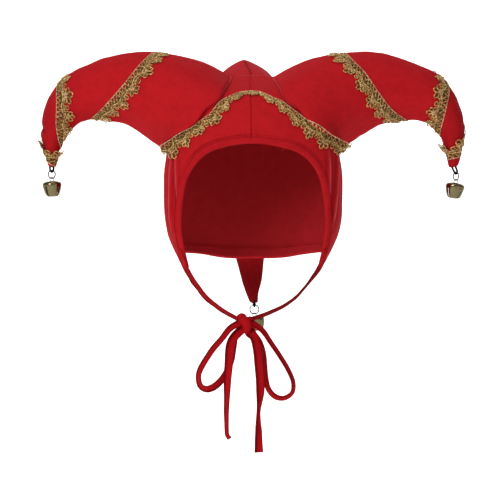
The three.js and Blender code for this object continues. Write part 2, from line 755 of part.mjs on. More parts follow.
// A hollow bell with its mouth down. Two slots cross at the mouth and end in round holes at the shoulder.
function bellGeometry() {
  const outer = BELL_PROFILE.map((p) => new THREE.Vector2(p.out * BELL_RADIUS, p.up * BELL_HEIGHT));
  const wide = (BELL_RADIUS - BELL_WALL) / BELL_RADIUS;
  const tall = (BELL_HEIGHT - 2 * BELL_WALL) / BELL_HEIGHT;
  const inner = outer.map((p) => new THREE.Vector2(p.x * wide, p.y * tall + BELL_WALL));
  const lathe = (profile) => solid(new THREE.LatheGeometry(profile, BELL_SIDES).rotateX(Math.PI / 2));
  let bell = lathe(outer).subtract(lathe(inner));
  const slotTop = SLOT_TOP * BELL_HEIGHT;
  for (const turn of [0, Math.PI / 2]) {
    const slot = new THREE.BoxGeometry(3 * BELL_RADIUS, SLOT_WIDTH, 2 * slotTop).rotateZ(turn);
    const hole = new THREE.CylinderGeometry(SLOT_HOLE, SLOT_HOLE, 3 * BELL_RADIUS, 6);
    hole.rotateZ(Math.PI / 2).rotateZ(turn).translate(0, 0, slotTop);
    bell = bell.subtract(solid(slot)).subtract(solid(hole));
  }
  const shank = new THREE.TorusGeometry(SHANK_RADIUS, SHANK_WIRE / 2, WIRE_SIDES, 10).rotateX(Math.PI / 2);
  shank.translate(0, 0, BELL_HEIGHT + SHANK_RADIUS - SHANK_WIRE);
  const dome = new THREE.BoxGeometry(4 * SHANK_RADIUS, 4 * SHANK_RADIUS, BELL_HEIGHT);
  dome.translate(0, 0, BELL_HEIGHT / 2 - BELL_WALL / 2);
  return geometryOf(bell.add(solid(shank).subtract(solid(dome))));
}

// Half-width of the cord loop down its drop, from one end round to the other
const LOOP_LINE = table(
  ["wide", "down"],
  [-1.0, 0.0],
  [-1.0, 0.3],
  [-0.85, 0.8],
  [0.0, 1.0],
  [0.85, 0.8],
  [1.0, 0.3],
  [1.0, 0.0],
);

// The bell, ring and cord loop that hang from a horn's tip. They are turned about the upright by a number of
// degrees. Where the cord loop is longer and pulled aside, that is given in mm.
function makeBellSet(side, horn, turn, longer = 0, aside = 0) {
  const set = new THREE.Group();
  set.position.copy(middleOf(horn, 1));
  const loopLow = -LOOP_DROP - longer;
  const ringMiddle = loopLow + LOOP_CORD / 2 + GAP + RING_WIRE / 2 - RING_RADIUS;
  const ringLow = ringMiddle - RING_RADIUS;
  const shankTop = ringLow + RING_WIRE / 2 + GAP + SHANK_WIRE;
  const bellFoot = shankTop - (2 * SHANK_RADIUS - SHANK_WIRE / 2) - BELL_HEIGHT;

  const facing = new THREE.Vector3(-Math.sin(turn), Math.cos(turn), 0);
  const loopPoint = (wide, z) => facing.clone().multiplyScalar(wide * LOOP_HALF_WIDTH).setZ(z);
  const drop = new THREE.CatmullRomCurve3(
    LOOP_LINE.map((row) => {
      const point = loopPoint(row.wide, THREE.MathUtils.lerp(-LOOP_START, loopLow, row.down));
      point.x += aside * THREE.MathUtils.smoothstep(row.down, 0, 1);
      return point;
    }),
  );
  const round = new THREE.Shape().absarc(0, 0, LOOP_CORD / 2, 0, 2 * Math.PI);
  const cord = new THREE.ExtrudeGeometry(round, {
    steps: 8,
    curveSegments: 3,
    bevelEnabled: false,
    extrudePath: drop,
  });
  set.add(mesh("cord_loop_" + side, cord, CORD));

  const hanging = new THREE.Group();
  hanging.position.x = aside;
  hanging.rotation.z = turn;
  const ring = new THREE.TorusGeometry(RING_RADIUS, RING_WIRE / 2, WIRE_SIDES, 12).rotateX(Math.PI / 2);
  hanging.add(mesh("ring_" + side, ring.translate(0, 0, ringMiddle), SILVER));

  const bell = mesh("bell_" + side, bellGeometry(), BRASS);
  bell.position.z = bellFoot;
  bell.rotation.z = Math.PI / 2;
  hanging.add(bell);

  const pea = new THREE.SphereGeometry(PEA_RADIUS, 10, 5);
  hanging.add(mesh("bell_pea_" + side, pea.translate(0, 0, bellFoot + PEA_HEIGHT), SILVER));
  return set.add(hanging);
}

// Tapes

// A flat tape along a route: its section is a flat oval turned about the route by the twist.
function makeTape(name, route) {
  const curve = new THREE.CatmullRomCurve3(route.map((row) => new THREE.Vector3(row.x, row.y, row.z)));
  const steps = Math.max(Math.round(curve.getLength() / TAPE_STEP), 4);
  const rings = [];
  for (let i = 0; i <= steps; i++) {
    const t = curve.getUtoTmapping(i / steps);
    const here = curve.getPoint(t);
    const ahead = curve.getTangent(t);
    const k = Math.min(Math.floor(t * (route.length - 1)), route.length - 2);
    const share = t * (route.length - 1) - k;
    const twist = THREE.MathUtils.lerp(route[k].twist, route[k + 1].twist, share);
    const face = new THREE.Vector3(0, -1, 0).projectOnPlane(ahead).normalize();
    face.applyAxisAngle(ahead, THREE.MathUtils.degToRad(twist));
    const side = new THREE.Vector3().crossVectors(ahead, face);
    const ring = [];
    for (let j = 0; j < 8; j++) {
      const angle = (Math.PI * (2 * j + 1)) / 8;
      const across = (Math.cos(angle) / Math.cos(Math.PI / 8)) * (TAPE_WIDTH / 2);
      const through = (Math.sin(angle) / Math.sin((3 * Math.PI) / 8)) * (TAPE_THICK / 2);
      ring.push(here.clone().addScaledVector(side, across).addScaledVector(face, through));
    }
    rings.push(ring);
  }
  return mesh(name, skin(rings), TAPE);
}

function makeKnot() {
  const geometry = new THREE.SphereGeometry(1, 12, 8);
  geometry.deleteAttribute("normal");
  geometry.deleteAttribute("uv");
  const ball = mergeVertices(geometry, 1e-3);
  const spots = ball.attributes.position;
  const p = new THREE.Vector3();
  for (let i = 0; i < spots.count; i++) {
    p.fromBufferAttribute(spots, i);
    let swell = 1;
    for (const lump of KNOT_LUMPS) {
      const away = p.distanceTo(new THREE.Vector3(lump.x, lump.y, lump.z).normalize());
      swell += lump.rise * Math.exp(-((away / lump.spread) ** 2));
    }
    p.multiplyScalar(swell).multiply(KNOT_SIZE).add(KNOT_CENTRE);
    spots.setXYZ(i, p.x, p.y, p.z);
  }
  ball.computeVertexNormals();
  return mesh("bow_knot", ball, TAPE);
}

const hat = new THREE.Group();
hat.name = "jester_hat";
const hornLeft = sideHorn("horn_left", LEFT);
const hornRight = sideHorn("horn_right", RIGHT);
const hornBack = backHorn("horn_back");
hat.add(makeHood(), makeFaceBinding());
hat.add(makeHorn(hornLeft), makeHorn(hornRight), makeHorn(hornBack));
hat.add(makeFrontLace(), makeHornLace("trim_left", hornLeft, "left"));
hat.add(makeHornLace("trim_right", hornRight, "right"));
hat.add(makeBellSet("left", hornLeft, THREE.MathUtils.degToRad(40)));
hat.add(makeBellSet("right", hornRight, THREE.MathUtils.degToRad(-57), 2, 3));
hat.add(makeBellSet("back", hornBack, THREE.MathUtils.degToRad(25)));
hat.add(makeTape("tie_left", TIE_LEFT), makeTape("tie_right", TIE_RIGHT), makeKnot());
hat.add(makeTape("bow_loop_left", BOW_LOOP_LEFT), makeTape("bow_loop_right", BOW_LOOP_RIGHT));
hat.add(makeTape("tie_tail_left", TIE_TAIL_LEFT), makeTape("tie_tail_right", TIE_TAIL_RIGHT));

export default hat;
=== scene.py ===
import json
import math
import random

import bmesh
import bpy
import numpy as np
from bpy.props import FloatProperty, FloatVectorProperty, PointerProperty
from mathutils import Matrix, Vector
from mathutils.bvhtree import BVHTree

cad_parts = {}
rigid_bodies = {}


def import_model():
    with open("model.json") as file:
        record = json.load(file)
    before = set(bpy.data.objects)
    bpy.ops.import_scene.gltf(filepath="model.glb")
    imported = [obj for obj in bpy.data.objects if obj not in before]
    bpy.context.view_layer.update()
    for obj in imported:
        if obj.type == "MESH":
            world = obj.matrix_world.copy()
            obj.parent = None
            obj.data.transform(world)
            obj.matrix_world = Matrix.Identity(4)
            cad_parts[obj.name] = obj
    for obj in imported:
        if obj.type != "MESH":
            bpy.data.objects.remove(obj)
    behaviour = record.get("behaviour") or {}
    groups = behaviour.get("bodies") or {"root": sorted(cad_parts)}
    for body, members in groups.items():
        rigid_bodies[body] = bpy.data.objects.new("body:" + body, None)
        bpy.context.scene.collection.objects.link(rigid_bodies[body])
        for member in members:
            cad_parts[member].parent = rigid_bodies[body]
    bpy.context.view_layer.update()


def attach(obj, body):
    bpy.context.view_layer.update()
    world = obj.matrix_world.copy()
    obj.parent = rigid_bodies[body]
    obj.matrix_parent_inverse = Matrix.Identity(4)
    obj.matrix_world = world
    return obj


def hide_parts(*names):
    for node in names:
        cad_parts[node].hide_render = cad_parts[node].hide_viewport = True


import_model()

bl_info = {
    "name": "Jester hat",
    "version": (1, 0, 0),
    "blender": (4, 5, 0),
    "location": "View3D > Sidebar > Hat",
    "description": "Velvet jester hat with stuffed horns, gold lace, jingle bells and a bow",
    "category": "Add Mesh",
}

# The pattern's lengths are in millimetres, and its tables mostly give shares of them. Meshes are in metres.
MM = 0.001
WALL = 2.0
HALF_WIDTH = 92.0
FRONT_DEPTH = 92.0
BACK_DEPTH = 112.0
DOME_HEIGHT = 80.0
HOOD_LENGTH = 188.0
CROWN_DROP = 16.5
PLEAT_DEPTH = 2.2
PLEAT_FADE = 0.13
SEAM_ROLL = 5.0
FULLNESS = 2.6
BACK_FULLER = 2.4
SEAM_EASE = 0.3
SIDE_HORN = {"reach": 136.0, "drop": 88.6, "plump": 68.0, "from": HALF_WIDTH}
BACK_HORN = {"reach": 62.0, "drop": 240.0, "plump": 50.0, "from": BACK_DEPTH}
HOOD_CENTRE = np.array([0.0, 0.0, -DOME_HEIGHT])
CROWN_POLE = np.array([0.0, 0.35, 0.94]) / math.hypot(0.35, 0.94)
LEFT = -1
RIGHT = 1


def table(names, *rows):
    """Named columns of numbers."""
    return {name: np.array([row[i] for row in rows], float) for i, name in enumerate(names.split())}


HOOD_TAPER = table(
    "at wide deep",
    (0.0, 1.0, 1.0),
    (0.43, 1.0, 1.0),
    (0.73, 0.995, 0.995),
    (0.84, 0.975, 0.985),
    (0.94, 0.925, 0.97),
    (1.0, 0.87, 0.95),
    (1.06, 0.81, 0.92),
)
HOOD_EDGE = table(
    "at across back down",
    (0.0, 0.0, -1.0, 0.36),
    (0.06, 0.43, -0.95, 0.395),
    (0.1, 0.615, -0.88, 0.445),
    (0.14, 0.745, -0.81, 0.53),
    (0.2, 0.8, -0.76, 0.64),
    (0.27, 0.825, -0.7, 0.81),
    (0.33, 0.8, -0.65, 0.955),
    (0.365, 0.77, -0.52, 1.055),
    (0.39, 0.85, -0.38, 1.045),
    (0.425, 0.92, 0.0, 1.015),
    (0.455, 0.85, 0.5, 1.0),
    (0.475, 0.6, 0.84, 1.028),
    (0.5, 0.0, 1.0, 1.035),
)
SIDE_SEAM = table(
    "at across back up",
    (0.0, 0.225, 0.03, 0.02),
    (0.06, 0.275, -0.27, -0.045),
    (0.13, 0.365, -0.74, -0.24),
    (0.22, 0.51, -0.8, -0.415),
    (0.29, 0.62, -0.82, -0.6),
    (0.37, 0.755, -0.72, -0.73),
    (0.44, 0.91, -0.42, -0.85),
    (0.5, 1.0, 0.03, -0.92),
    (0.56, 0.91, 0.42, -0.9),
    (0.64, 0.76, 0.68, -0.82),
    (0.73, 0.57, 0.8, -0.6),
    (0.82, 0.42, 0.74, -0.34),
    (0.9, 0.29, 0.5, -0.1),
    (0.96, 0.245, 0.25, 0.0),
)
BACK_SEAM = table(
    "at across back up",
    (0.0, 0.0, 0.075, 0.02),
    (0.05, 0.17, 0.09, 0.015),
    (0.1, 0.225, 0.27, -0.01),
    (0.16, 0.26, 0.5, -0.11),
    (0.22, 0.375, 0.75, -0.36),
    (0.29, 0.545, 0.83, -0.62),
    (0.37, 0.53, 0.88, -0.86),
    (0.43, 0.36, 0.95, -0.99),
    (0.5, 0.0, 1.0, -1.03),
)
SECTION_COLUMNS = "at topOut topUp underOut underUp depth topLean underLean"
SIDE_SECTIONS = table(
    SECTION_COLUMNS,
    (0.09, -0.34, 0.23, 0.06, -0.76, 0.96, -0.03, -0.03),
    (0.17, -0.2, 0.305, 0.14, -0.67, 0.84, -0.01, -0.01),
    (0.26, 0.0, 0.365, 0.24, -0.57, 0.705, 0.0, 0.0),
    (0.36, 0.205, 0.39, 0.35, -0.48, 0.59, 0.0, 0.0),
    (0.48, 0.445, 0.34, 0.505, -0.45, 0.5, 0.0, 0.0),
    (0.57, 0.64, 0.23, 0.61, -0.44, 0.425, 0.0, 0.0),
    (0.66, 0.82, 0.085, 0.715, -0.49, 0.35, 0.0, 0.0),
    (0.75, 0.93, -0.145, 0.785, -0.585, 0.285, 0.0, 0.0),
    (0.81, 0.985, -0.365, 0.825, -0.67, 0.225, 0.0, 0.0),
    (0.885, 1.0, -0.61, 0.845, -0.78, 0.165, 0.0, 0.0),
    (0.94, 0.975, -0.83, 0.87, -0.865, 0.1, 0.0, 0.0),
    (1.0, 0.945, -0.985, 0.89, -1.0, 0.055, 0.0, 0.0),
)
BACK_SECTIONS = table(
    SECTION_COLUMNS,
    (0.115, -0.9, 0.13, 0.113, -0.4, 0.71, -0.18, 0.06),
    (0.18, -0.355, 0.131, 0.16, -0.4375, 0.73, -0.17, 0.05),
    (0.265, 0.19, 0.055, 0.21, -0.475, 0.76, -0.15, 0.0),
    (0.36, 0.645, -0.083, 0.24, -0.517, 0.7, -0.12, -0.05),
    (0.47, 0.92, -0.258, 0.275, -0.57, 0.6, -0.1, -0.07),
    (0.58, 1.0, -0.44, 0.305, -0.633, 0.5, -0.09, -0.08),
    (0.69, 0.935, -0.617, 0.32, -0.708, 0.42, -0.08, -0.08),
    (0.8, 0.79, -0.767, 0.34, -0.8, 0.33, -0.06, -0.06),
    (0.895, 0.63, -0.883, 0.347, -0.892, 0.23, -0.02, -0.02),
    (0.96, 0.5, -0.953, 0.355, -0.957, 0.13, 0.0, 0.0),
    (1.0, 0.47, -0.992, 0.39, -0.992, 0.09, 0.03, 0.03),
)
# Where the lace's straight edge lies on a side horn: turns round it, and shares of its length
LACE_WIND = {
    "left": table(
        "at along",
        (-0.08, 0.295),
        (0.0, 0.313),
        (0.09, 0.333),
        (0.18, 0.36),
        (0.27, 0.405),
        (0.36, 0.47),
        (0.5, 0.575),
        (0.75, 0.64),
        (1.0, 0.695),
        (1.14, 0.718),
        (1.22, 0.748),
        (1.305, 0.795),
        (1.4, 0.86),
        (1.5, 0.89),
        (1.75, 0.935),
        (2.0, 0.98),
        (2.25, 1.0),
        (2.5, 1.004),
        (2.75, 1.006),
    ),
    "right": table(
        "at along",
        (-0.08, 0.275),
        (0.0, 0.288),
        (0.11, 0.305),
        (0.18, 0.33),
        (0.25, 0.354),
        (0.32, 0.385),
        (0.385, 0.425),
        (0.455, 0.49),
        (0.5, 0.525),
        (0.75, 0.61),
        (1.0, 0.695),
        (1.12, 0.715),
        (1.21, 0.727),
        (1.325, 0.75),
        (1.5, 0.79),
        (1.75, 0.87),
        (2.0, 0.95),
        (2.25, 0.965),
        (2.5, 0.97),
        (2.75, 0.975),
    ),
}
# The front lace's straight edge from left to right and the lace's depth there, all as seen from the front
FRONT_LACE = table(
    "at across up wide",
    (0.0, -101.3, -67.0, 20.5),
    (0.053, -92.3, -61.6, 20.0),
    (0.117, -79.4, -52.4, 18.4),
    (0.175, -66.4, -45.9, 13.5),
    (0.237, -53.5, -37.8, 13.0),
    (0.281, -44.8, -30.8, 13.5),
    (0.337, -36.2, -20.0, 13.5),
    (0.396, -23.2, -12.8, 8.6),
    (0.451, -10.3, -8.7, 5.0),
    (0.520, 7.0, -8.7, 5.0),
    (0.576, 20.0, -13.8, 7.0),
    (0.633, 32.9, -19.5, 9.7),
    (0.698, 45.9, -29.2, 11.9),
    (0.759, 58.9, -37.3, 16.2),
    (0.819, 71.8, -44.3, 18.9),
    (0.882, 84.8, -53.5, 19.4),
    (0.942, 96.7, -60.3, 18.0),
    (0.975, 102.5, -63.0, 14.0),
    (1.0, 107.5, -65.0, 8.0),
)
SEEN_FROM = np.array([-2.7, -2200.0, -179.3])
# Soft pleats of the pattern, and the sharper folds that hang in the sides: degrees back from the brow
PLEATS = table(
    "turn width rise top bottom",
    (62, 9, 0.8, 0.4, 0.9),
    (76, 8, 1.0, 0.42, 0.98),
    (91, 9, 0.7, 0.44, 0.9),
)
# A fold that rises this far, in mm, shows its crest and sides in full
FULL_FOLD = 2.4
FOLDS = table(
    "side high low width rise top bottom",
    (LEFT, 55, 58.5, 1.5, 2.6, 0.36, 0.92),
    (LEFT, 50, 48, 1.3, 1.9, 0.36, 0.8),
    (LEFT, 69, 69, 1.8, 1.6, 0.36, 0.9),
    (RIGHT, 50.5, 49.5, 1.4, 2.4, 0.36, 0.78),
    (RIGHT, 60.5, 52, 1.6, 3.2, 0.36, 0.92),
    (RIGHT, 84, 76, 3.0, 2.8, 0.36, 0.92),
    (LEFT, 100, 104, 6.0, 1.0, 0.5, 1.0),
    (RIGHT, 98, 102, 6.0, 1.2, 0.5, 1.0),
    (LEFT, 128, 130, 7.0, 0.9, 0.55, 1.0),
    (RIGHT, 130, 127, 7.0, 0.9, 0.55, 1.0),
)

# Routes of the ties and the bow, in metres, with the turn of the flat side in degrees
TIE_LEFT = (
    (-0.0705, -0.0497, -0.1981, 54),
    (-0.0645, -0.056, -0.208, 56),
    (-0.0565, -0.06, -0.2195, 58),
    (-0.047, -0.065, -0.2305, 60),
    (-0.036, -0.068, -0.239, 64),
    (-0.0255, -0.07, -0.2455, 67),
    (-0.0161, -0.0715, -0.2507, 68),
    (-0.011, -0.072, -0.2533, 64),
)
TIE_RIGHT = (
    (0.07, -0.0497, -0.1979, -60),
    (0.0635, -0.056, -0.207, -70),
    (0.056, -0.06, -0.217, -78),
    (0.0465, -0.064, -0.2275, -76),
    (0.0345, -0.067, -0.2365, -72),
    (0.0205, -0.07, -0.2435, -68),
    (0.0008, -0.0715, -0.2508, -66),
    (-0.0045, -0.072, -0.2525, -58),
)
BOW_LOOP_LEFT = (
    (-0.0095, -0.0725, -0.2545, 40),
    (-0.015, -0.074, -0.2564, 46),
    (-0.024, -0.077, -0.262, 52),
    (-0.033, -0.079, -0.273, 54),
    (-0.043, -0.08, -0.285, 54),
    (-0.0515, -0.08, -0.2985, 54),
    (-0.056, -0.079, -0.3095, 56),
    (-0.0545, -0.077, -0.32, 52),
    (-0.0475, -0.074, -0.324, 42),
    (-0.038, -0.071, -0.3205, 38),
    (-0.0295, -0.068, -0.311, 44),
    (-0.0225, -0.066, -0.296, 54),
    (-0.0195, -0.065, -0.28, 60),
    (-0.0175, -0.0655, -0.268, 62),
    (-0.0135, -0.067, -0.2615, 60),
    (-0.0095, -0.0685, -0.258, 50),
)
BOW_LOOP_RIGHT = (
    (-0.004, -0.0725, -0.2555, -45),
    (0.0017, -0.074, -0.2576, -52),
    (0.0105, -0.077, -0.264, -60),
    (0.0185, -0.079, -0.2755, -63),
    (0.0285, -0.08, -0.29, -64),
    (0.037, -0.08, -0.304, -65),
    (0.042, -0.079, -0.3165, -66),
    (0.041, -0.077, -0.3275, -64),
    (0.033, -0.075, -0.3335, -58),
    (0.0235, -0.073, -0.332, -55),
    (0.0165, -0.071, -0.3235, -58),
    (0.014, -0.069, -0.31, -62),
    (0.012, -0.068, -0.289, -64),
    (0.008, -0.068, -0.2755, -64),
    (0.001, -0.0685, -0.266, -56),
    (-0.003, -0.0695, -0.2605, -45),
)
TIE_TAIL_LEFT = (
    (-0.008, -0.0712, -0.2585, 10),
    (-0.0116, -0.072, -0.2626, 10),
    (-0.019, -0.0745, -0.27, 10),
    (-0.023, -0.076, -0.279, 10),
    (-0.0245, -0.076, -0.295, 14),
    (-0.026, -0.075, -0.315, 34),
    (-0.0265, -0.075, -0.336, 56),
    (-0.027, -0.075, -0.357, 64),
    (-0.0265, -0.075, -0.371, 66),
    (-0.0235, -0.075, -0.376, 62),
)
TIE_TAIL_RIGHT = (
    (-0.0052, -0.0712, -0.261, -20),
    (-0.0035, -0.072, -0.266, -20),
    (0.0015, -0.0745, -0.2705, -20),
    (0.0045, -0.076, -0.283, -25),
    (0.0065, -0.076, -0.3, -15),
    (0.008, -0.075, -0.32, -15),
    (0.007, -0.075, -0.338, -55),
    (0.006, -0.075, -0.35, -68),
    (0.006, -0.075, -0.368, -45),
    (0.0065, -0.075, -0.3905, -18),
)
KNOT_CENTRE = (-0.0065, -0.0715, -0.256)


# Smooth curves through the tables

def weights(knots, at):
    """How much each row of a table counts at each place: a smooth curve through all of them."""
    at = np.atleast_1d(np.asarray(at, float))
    last = len(knots) - 1
    i = np.clip(np.searchsorted(knots, at, side="left") - 1, 0, last - 1)
    span = knots[i + 1] - knots[i]
    t = (at - knots[i]) / span
    share = np.zeros((len(at), last + 1))
    row = np.arange(len(at))
    share[row, i] += 2 * t**3 - 3 * t**2 + 1
    share[row, i + 1] += 3 * t**2 - 2 * t**3
    for k, bend in ((i, t**3 - 2 * t**2 + t), (i + 1, t**3 - t**2)):
        low, high = np.maximum(k - 1, 0), np.minimum(k + 1, last)
        slope = bend * span / (knots[high] - knots[low])
        np.add.at(share, (row, high), slope)
        np.add.at(share, (row, low), -slope)
    return share


def follow(rows, name, at):
    return weights(rows["at"], at) @ rows[name]


def around(rows):
    """The rows once more before and after, so a closed line has no ends."""
    turned = {name: np.tile(column, 3) for name, column in rows.items()}
    turned["at"] = np.concatenate([rows["at"] - 1, rows["at"], rows["at"] + 1])
    return turned


def both_sides(rows):
    """A mirrored line from its one half."""
    other = {name: column[1:-1][::-1] for name, column in rows.items()}
    other["at"] = 1 - other["at"]
    other["across"] = -other["across"]
    return {name: np.concatenate([column, other[name]]) for name, column in rows.items()}


def unit(v):
    return v / np.maximum(np.linalg.norm(v, axis=-1, keepdims=True), 1e-12)


def blur(grid, axis, times):
    """Evens out a grid along one of its ways, with its ends left where they are."""
    grid = np.moveaxis(grid, axis, 0).copy()
    for _ in range(times):
        grid[1:-1] = (grid[:-2] + 2 * grid[1:-1] + grid[2:]) / 4
    return np.moveaxis(grid, 0, axis)


def even_out(grid, along, across):
    """Evens out a grid both ways."""
    return blur(blur(grid, 0, along), 1, across)


def smoothstep(x, low, high):
    t = np.clip((x - low) / (high - low), 0, 1)
    return t * t * (3 - 2 * t)


def hump(x, width):
    """1 in the middle, falling off to both sides."""
    return np.exp(-((x / width) ** 2))


def length_along(points):
    """How far along a line each of its points lies."""
    return np.concatenate([[0], np.cumsum(np.linalg.norm(np.diff(points, axis=0), axis=1))])


def read_at(want, run, rows):
    """Rows of values read at the wanted lengths along their line."""
    return np.stack([np.interp(want, run, column) for column in rows.T], -1)


# The hood's surface

# How square the hood is at its sides and back, at its front and at the dome: 2 is round
SIDE_SQUARE = 2.2
FRONT_SQUARE = 4.0
DOME_SQUARE = 3.1
TAPER_END = 1.06
TAPER_STEPS = np.linspace(0, TAPER_END, 400)
TAPER_WIDE = follow(HOOD_TAPER, "wide", TAPER_STEPS)
TAPER_DEEP = follow(HOOD_TAPER, "deep", TAPER_STEPS)
EDGE_LOOP = around(both_sides(HOOD_EDGE))


def hood_field(p):
    """1 on the hood's outside, less inside it."""
    down = np.clip(-p[..., 2] / HOOD_LENGTH, 0, TAPER_END)
    front = p[..., 1] < 0
    depth = np.where(front, FRONT_DEPTH, BACK_DEPTH) * np.interp(down, TAPER_STEPS, TAPER_DEEP)
    drop = np.where(front, -CROWN_DROP * p[..., 1] / FRONT_DEPTH, 0)
    height = np.maximum(p[..., 2] + drop + DOME_HEIGHT, 0) / (DOME_HEIGHT + WALL)
    across = np.abs(p[..., 0]) / (HALF_WIDTH * np.interp(down, TAPER_STEPS, TAPER_WIDE))
    deep = (np.abs(p[..., 1]) / depth) ** np.where(front, FRONT_SQUARE, SIDE_SQUARE)
    return across**SIDE_SQUARE + deep + height**DOME_SQUARE


def pleat_rise(p):
    turn = np.degrees(np.arctan2(np.abs(p[..., 0]), -p[..., 1]))
    down = -p[..., 2] / HOOD_LENGTH
    rise = np.zeros(p.shape[:-1])
    for k in range(len(PLEATS["turn"])):
        crest = hump(turn - PLEATS["turn"][k], PLEATS["width"][k])
        top, bottom = PLEATS["top"][k], PLEATS["bottom"][k]
        shown = smoothstep(down, top, top + PLEAT_FADE) * (1 - smoothstep(down, bottom - PLEAT_FADE, bottom))
        rise += PLEAT_DEPTH * PLEATS["rise"][k] * crest * shown
    return rise


def fold_rise(p, part="rise"):
    """The sharper folds: thin crests with a slow fall on one side, as cloth hangs.

    Or how near a place is to their crests or to their sides, from 0 to 1.
    """
    turn = np.degrees(np.arctan2(np.abs(p[..., 0]), -p[..., 1]))
    down = -p[..., 2] / HOOD_LENGTH
    rise = np.zeros(p.shape[:-1])
    for k in range(len(FOLDS["side"])):
        top, bottom = FOLDS["top"][k], FOLDS["bottom"][k]
        share = np.clip((down - top) / (bottom - top), 0, 1)
        line = FOLDS["high"][k] + (FOLDS["low"][k] - FOLDS["high"][k]) * share**1.5
        beside = (turn - line) / FOLDS["width"][k]
        shown = smoothstep(down, top - 0.02, top + 0.14) * (1 - smoothstep(down, bottom - 0.2, bottom))
        here = np.sign(p[..., 0]) == FOLDS["side"][k]
        if part == "rise":
            crest = 0.75 * np.exp(-np.abs(beside) ** 1.4) + 0.4 * hump(beside, 4)
            crest -= 0.45 * hump(beside - 2.6, 1.5)
            rise += FOLDS["rise"][k] * crest * shown * here
            continue
        crest = hump(beside, 0.4) if part == "crests" else hump(np.abs(beside) - 1.9, 0.9)
        rise = np.maximum(rise, crest * shown * here * min((FOLDS["rise"][k] / FULL_FOLD) ** 2, 1))
    return rise


def on_hood(points, lift=0.0, folds=0.0):
    """Points pushed out from the hood's middle onto its outside, then lifted off it."""
    ray = unit(np.asarray(points, float) - HOOD_CENTRE)
    low = np.zeros(ray.shape[:-1])
    high = np.full(ray.shape[:-1], 2 * HOOD_LENGTH)
    for _ in range(30):
        middle = (low + high) / 2
        inside = hood_field(HOOD_CENTRE + ray * middle[..., None]) < 1
        low = np.where(inside, middle, low)
        high = np.where(inside, high, middle)
    found = HOOD_CENTRE + ray * low[..., None]
    rise = lift + pleat_rise(found)
    if folds:
        rise = rise + folds * fold_rise(found)
    return found + ray * rise[..., None]


def hood_place(rows, at):
    across, back = follow(rows, "across", at), follow(rows, "back", at)
    z = follow(rows, "up", at) * DOME_HEIGHT if "up" in rows else -follow(rows, "down", at) * HOOD_LENGTH
    deep = np.where(back < 0, FRONT_DEPTH, BACK_DEPTH)
    return np.stack([across * HALF_WIDTH, back * deep, z], -1)


# The horns' surfaces

class Horn:
    """One stuffed horn: where it is sewn on, and its sections."""

    def __init__(self, name, side):
        self.name = name
        self.side = side
        if side:
            self.seam = around({**SIDE_SEAM, "across": SIDE_SEAM["across"] * side})
            self.sections, self.sizes = SIDE_SECTIONS, SIDE_HORN
            self.face = np.array([0.0, -1.0, 0.0])
        else:
            self.seam = around(both_sides(BACK_SEAM))
            self.sections, self.sizes = BACK_SECTIONS, BACK_HORN
            self.face = np.array([1.0, 0.0, 0.0])
        start = self.sections["at"][0]
        fuller = 0 if side else BACK_FULLER
        self.fullness = FULLNESS + fuller * (1 - smoothstep(self.sections["at"], 0.2, 0.6))
        self.knots = np.concatenate([[0, start / 3], self.sections["at"]])

    def place(self, out, lean, up):
        out, lean, up = np.broadcast_arrays(out, lean, up)
        if self.side:
            return np.stack([self.side * out, lean, up], -1)
        return np.stack([lean, out, up], -1)

    def seam_point(self, turn, lift=1.5):
        turn = np.atleast_1d(turn)
        return on_hood(hood_place(self.seam, turn - np.floor(turn)), lift)

    def section_points(self, turn):
        """Points of every section at each turn."""
        rows, sizes = self.sections, self.sizes
        part = turn - np.floor(turn)
        facing = np.where(part < 0.5, 1.0, -1.0)
        even = 1 - 4 * np.where(part < 0.5, part, 1 - part)
        height = (even * (1 + SEAM_EASE - SEAM_EASE * even**2))[:, None]
        plump = sizes["plump"]

        def line(name):
            out = sizes["from"] + rows[name + "Out"] * sizes["reach"]
            return self.place(out, rows[name + "Lean"] * plump, rows[name + "Up"] * sizes["drop"])

        top, under = line("top"), line("under")
        bow = rows["depth"] * plump * (1 - np.abs(height) ** self.fullness) * facing[:, None]
        share = ((1 + height) / 2)[..., None]
        return under + (top - under) * share + self.face * bow[..., None]

    def lines(self, turn):
        """The points that the surface runs through at each turn, from the seam to the tip."""
        seam = self.seam_point(turn)[:, None]
        roll = self.seam_point(turn, 1.5 + SEAM_ROLL)[:, None]
        return np.concatenate([seam, roll, self.section_points(np.atleast_1d(turn))], 1)

    def points(self, turn, along):
        """Surface points for pairs of turn and along."""
        return np.einsum("nk,nkc->nc", weights(self.knots, along), self.lines(turn))

    def grid(self, turns, alongs):
        """Surface points for every along (rows) and turn (columns)."""
        return np.einsum("ak,tkc->atc", weights(self.knots, alongs), self.lines(turns))


HORN_SIDES = {"horn_left": LEFT, "horn_right": RIGHT, "horn_back": 0}
HORNS = {name: Horn(name, side) for name, side in HORN_SIDES.items()}


# Meshes

def new_object(name, points, faces, material=None, smooth=True, uv=None):
    mesh = bpy.data.meshes.new(name)
    corners = [tuple(int(i) for i in face) for face in faces]
    mesh.from_pydata([tuple(p) for p in np.asarray(points, float)], [], corners)
    if uv is not None:
        layer = mesh.uv_layers.new(name="UVMap")
        order = np.zeros(len(mesh.loops), int)
        mesh.loops.foreach_get("vertex_index", order)
        layer.data.foreach_set("uv", np.asarray(uv, float)[order].ravel())
    mesh.validate()
    if smooth:
        mesh.polygons.foreach_set("use_smooth", [True] * len(mesh.polygons))
    mesh.update()
    piece = bpy.data.objects.new(name, mesh)
    bpy.context.scene.collection.objects.link(piece)
    if material:
        mesh.materials.append(material)
    return piece


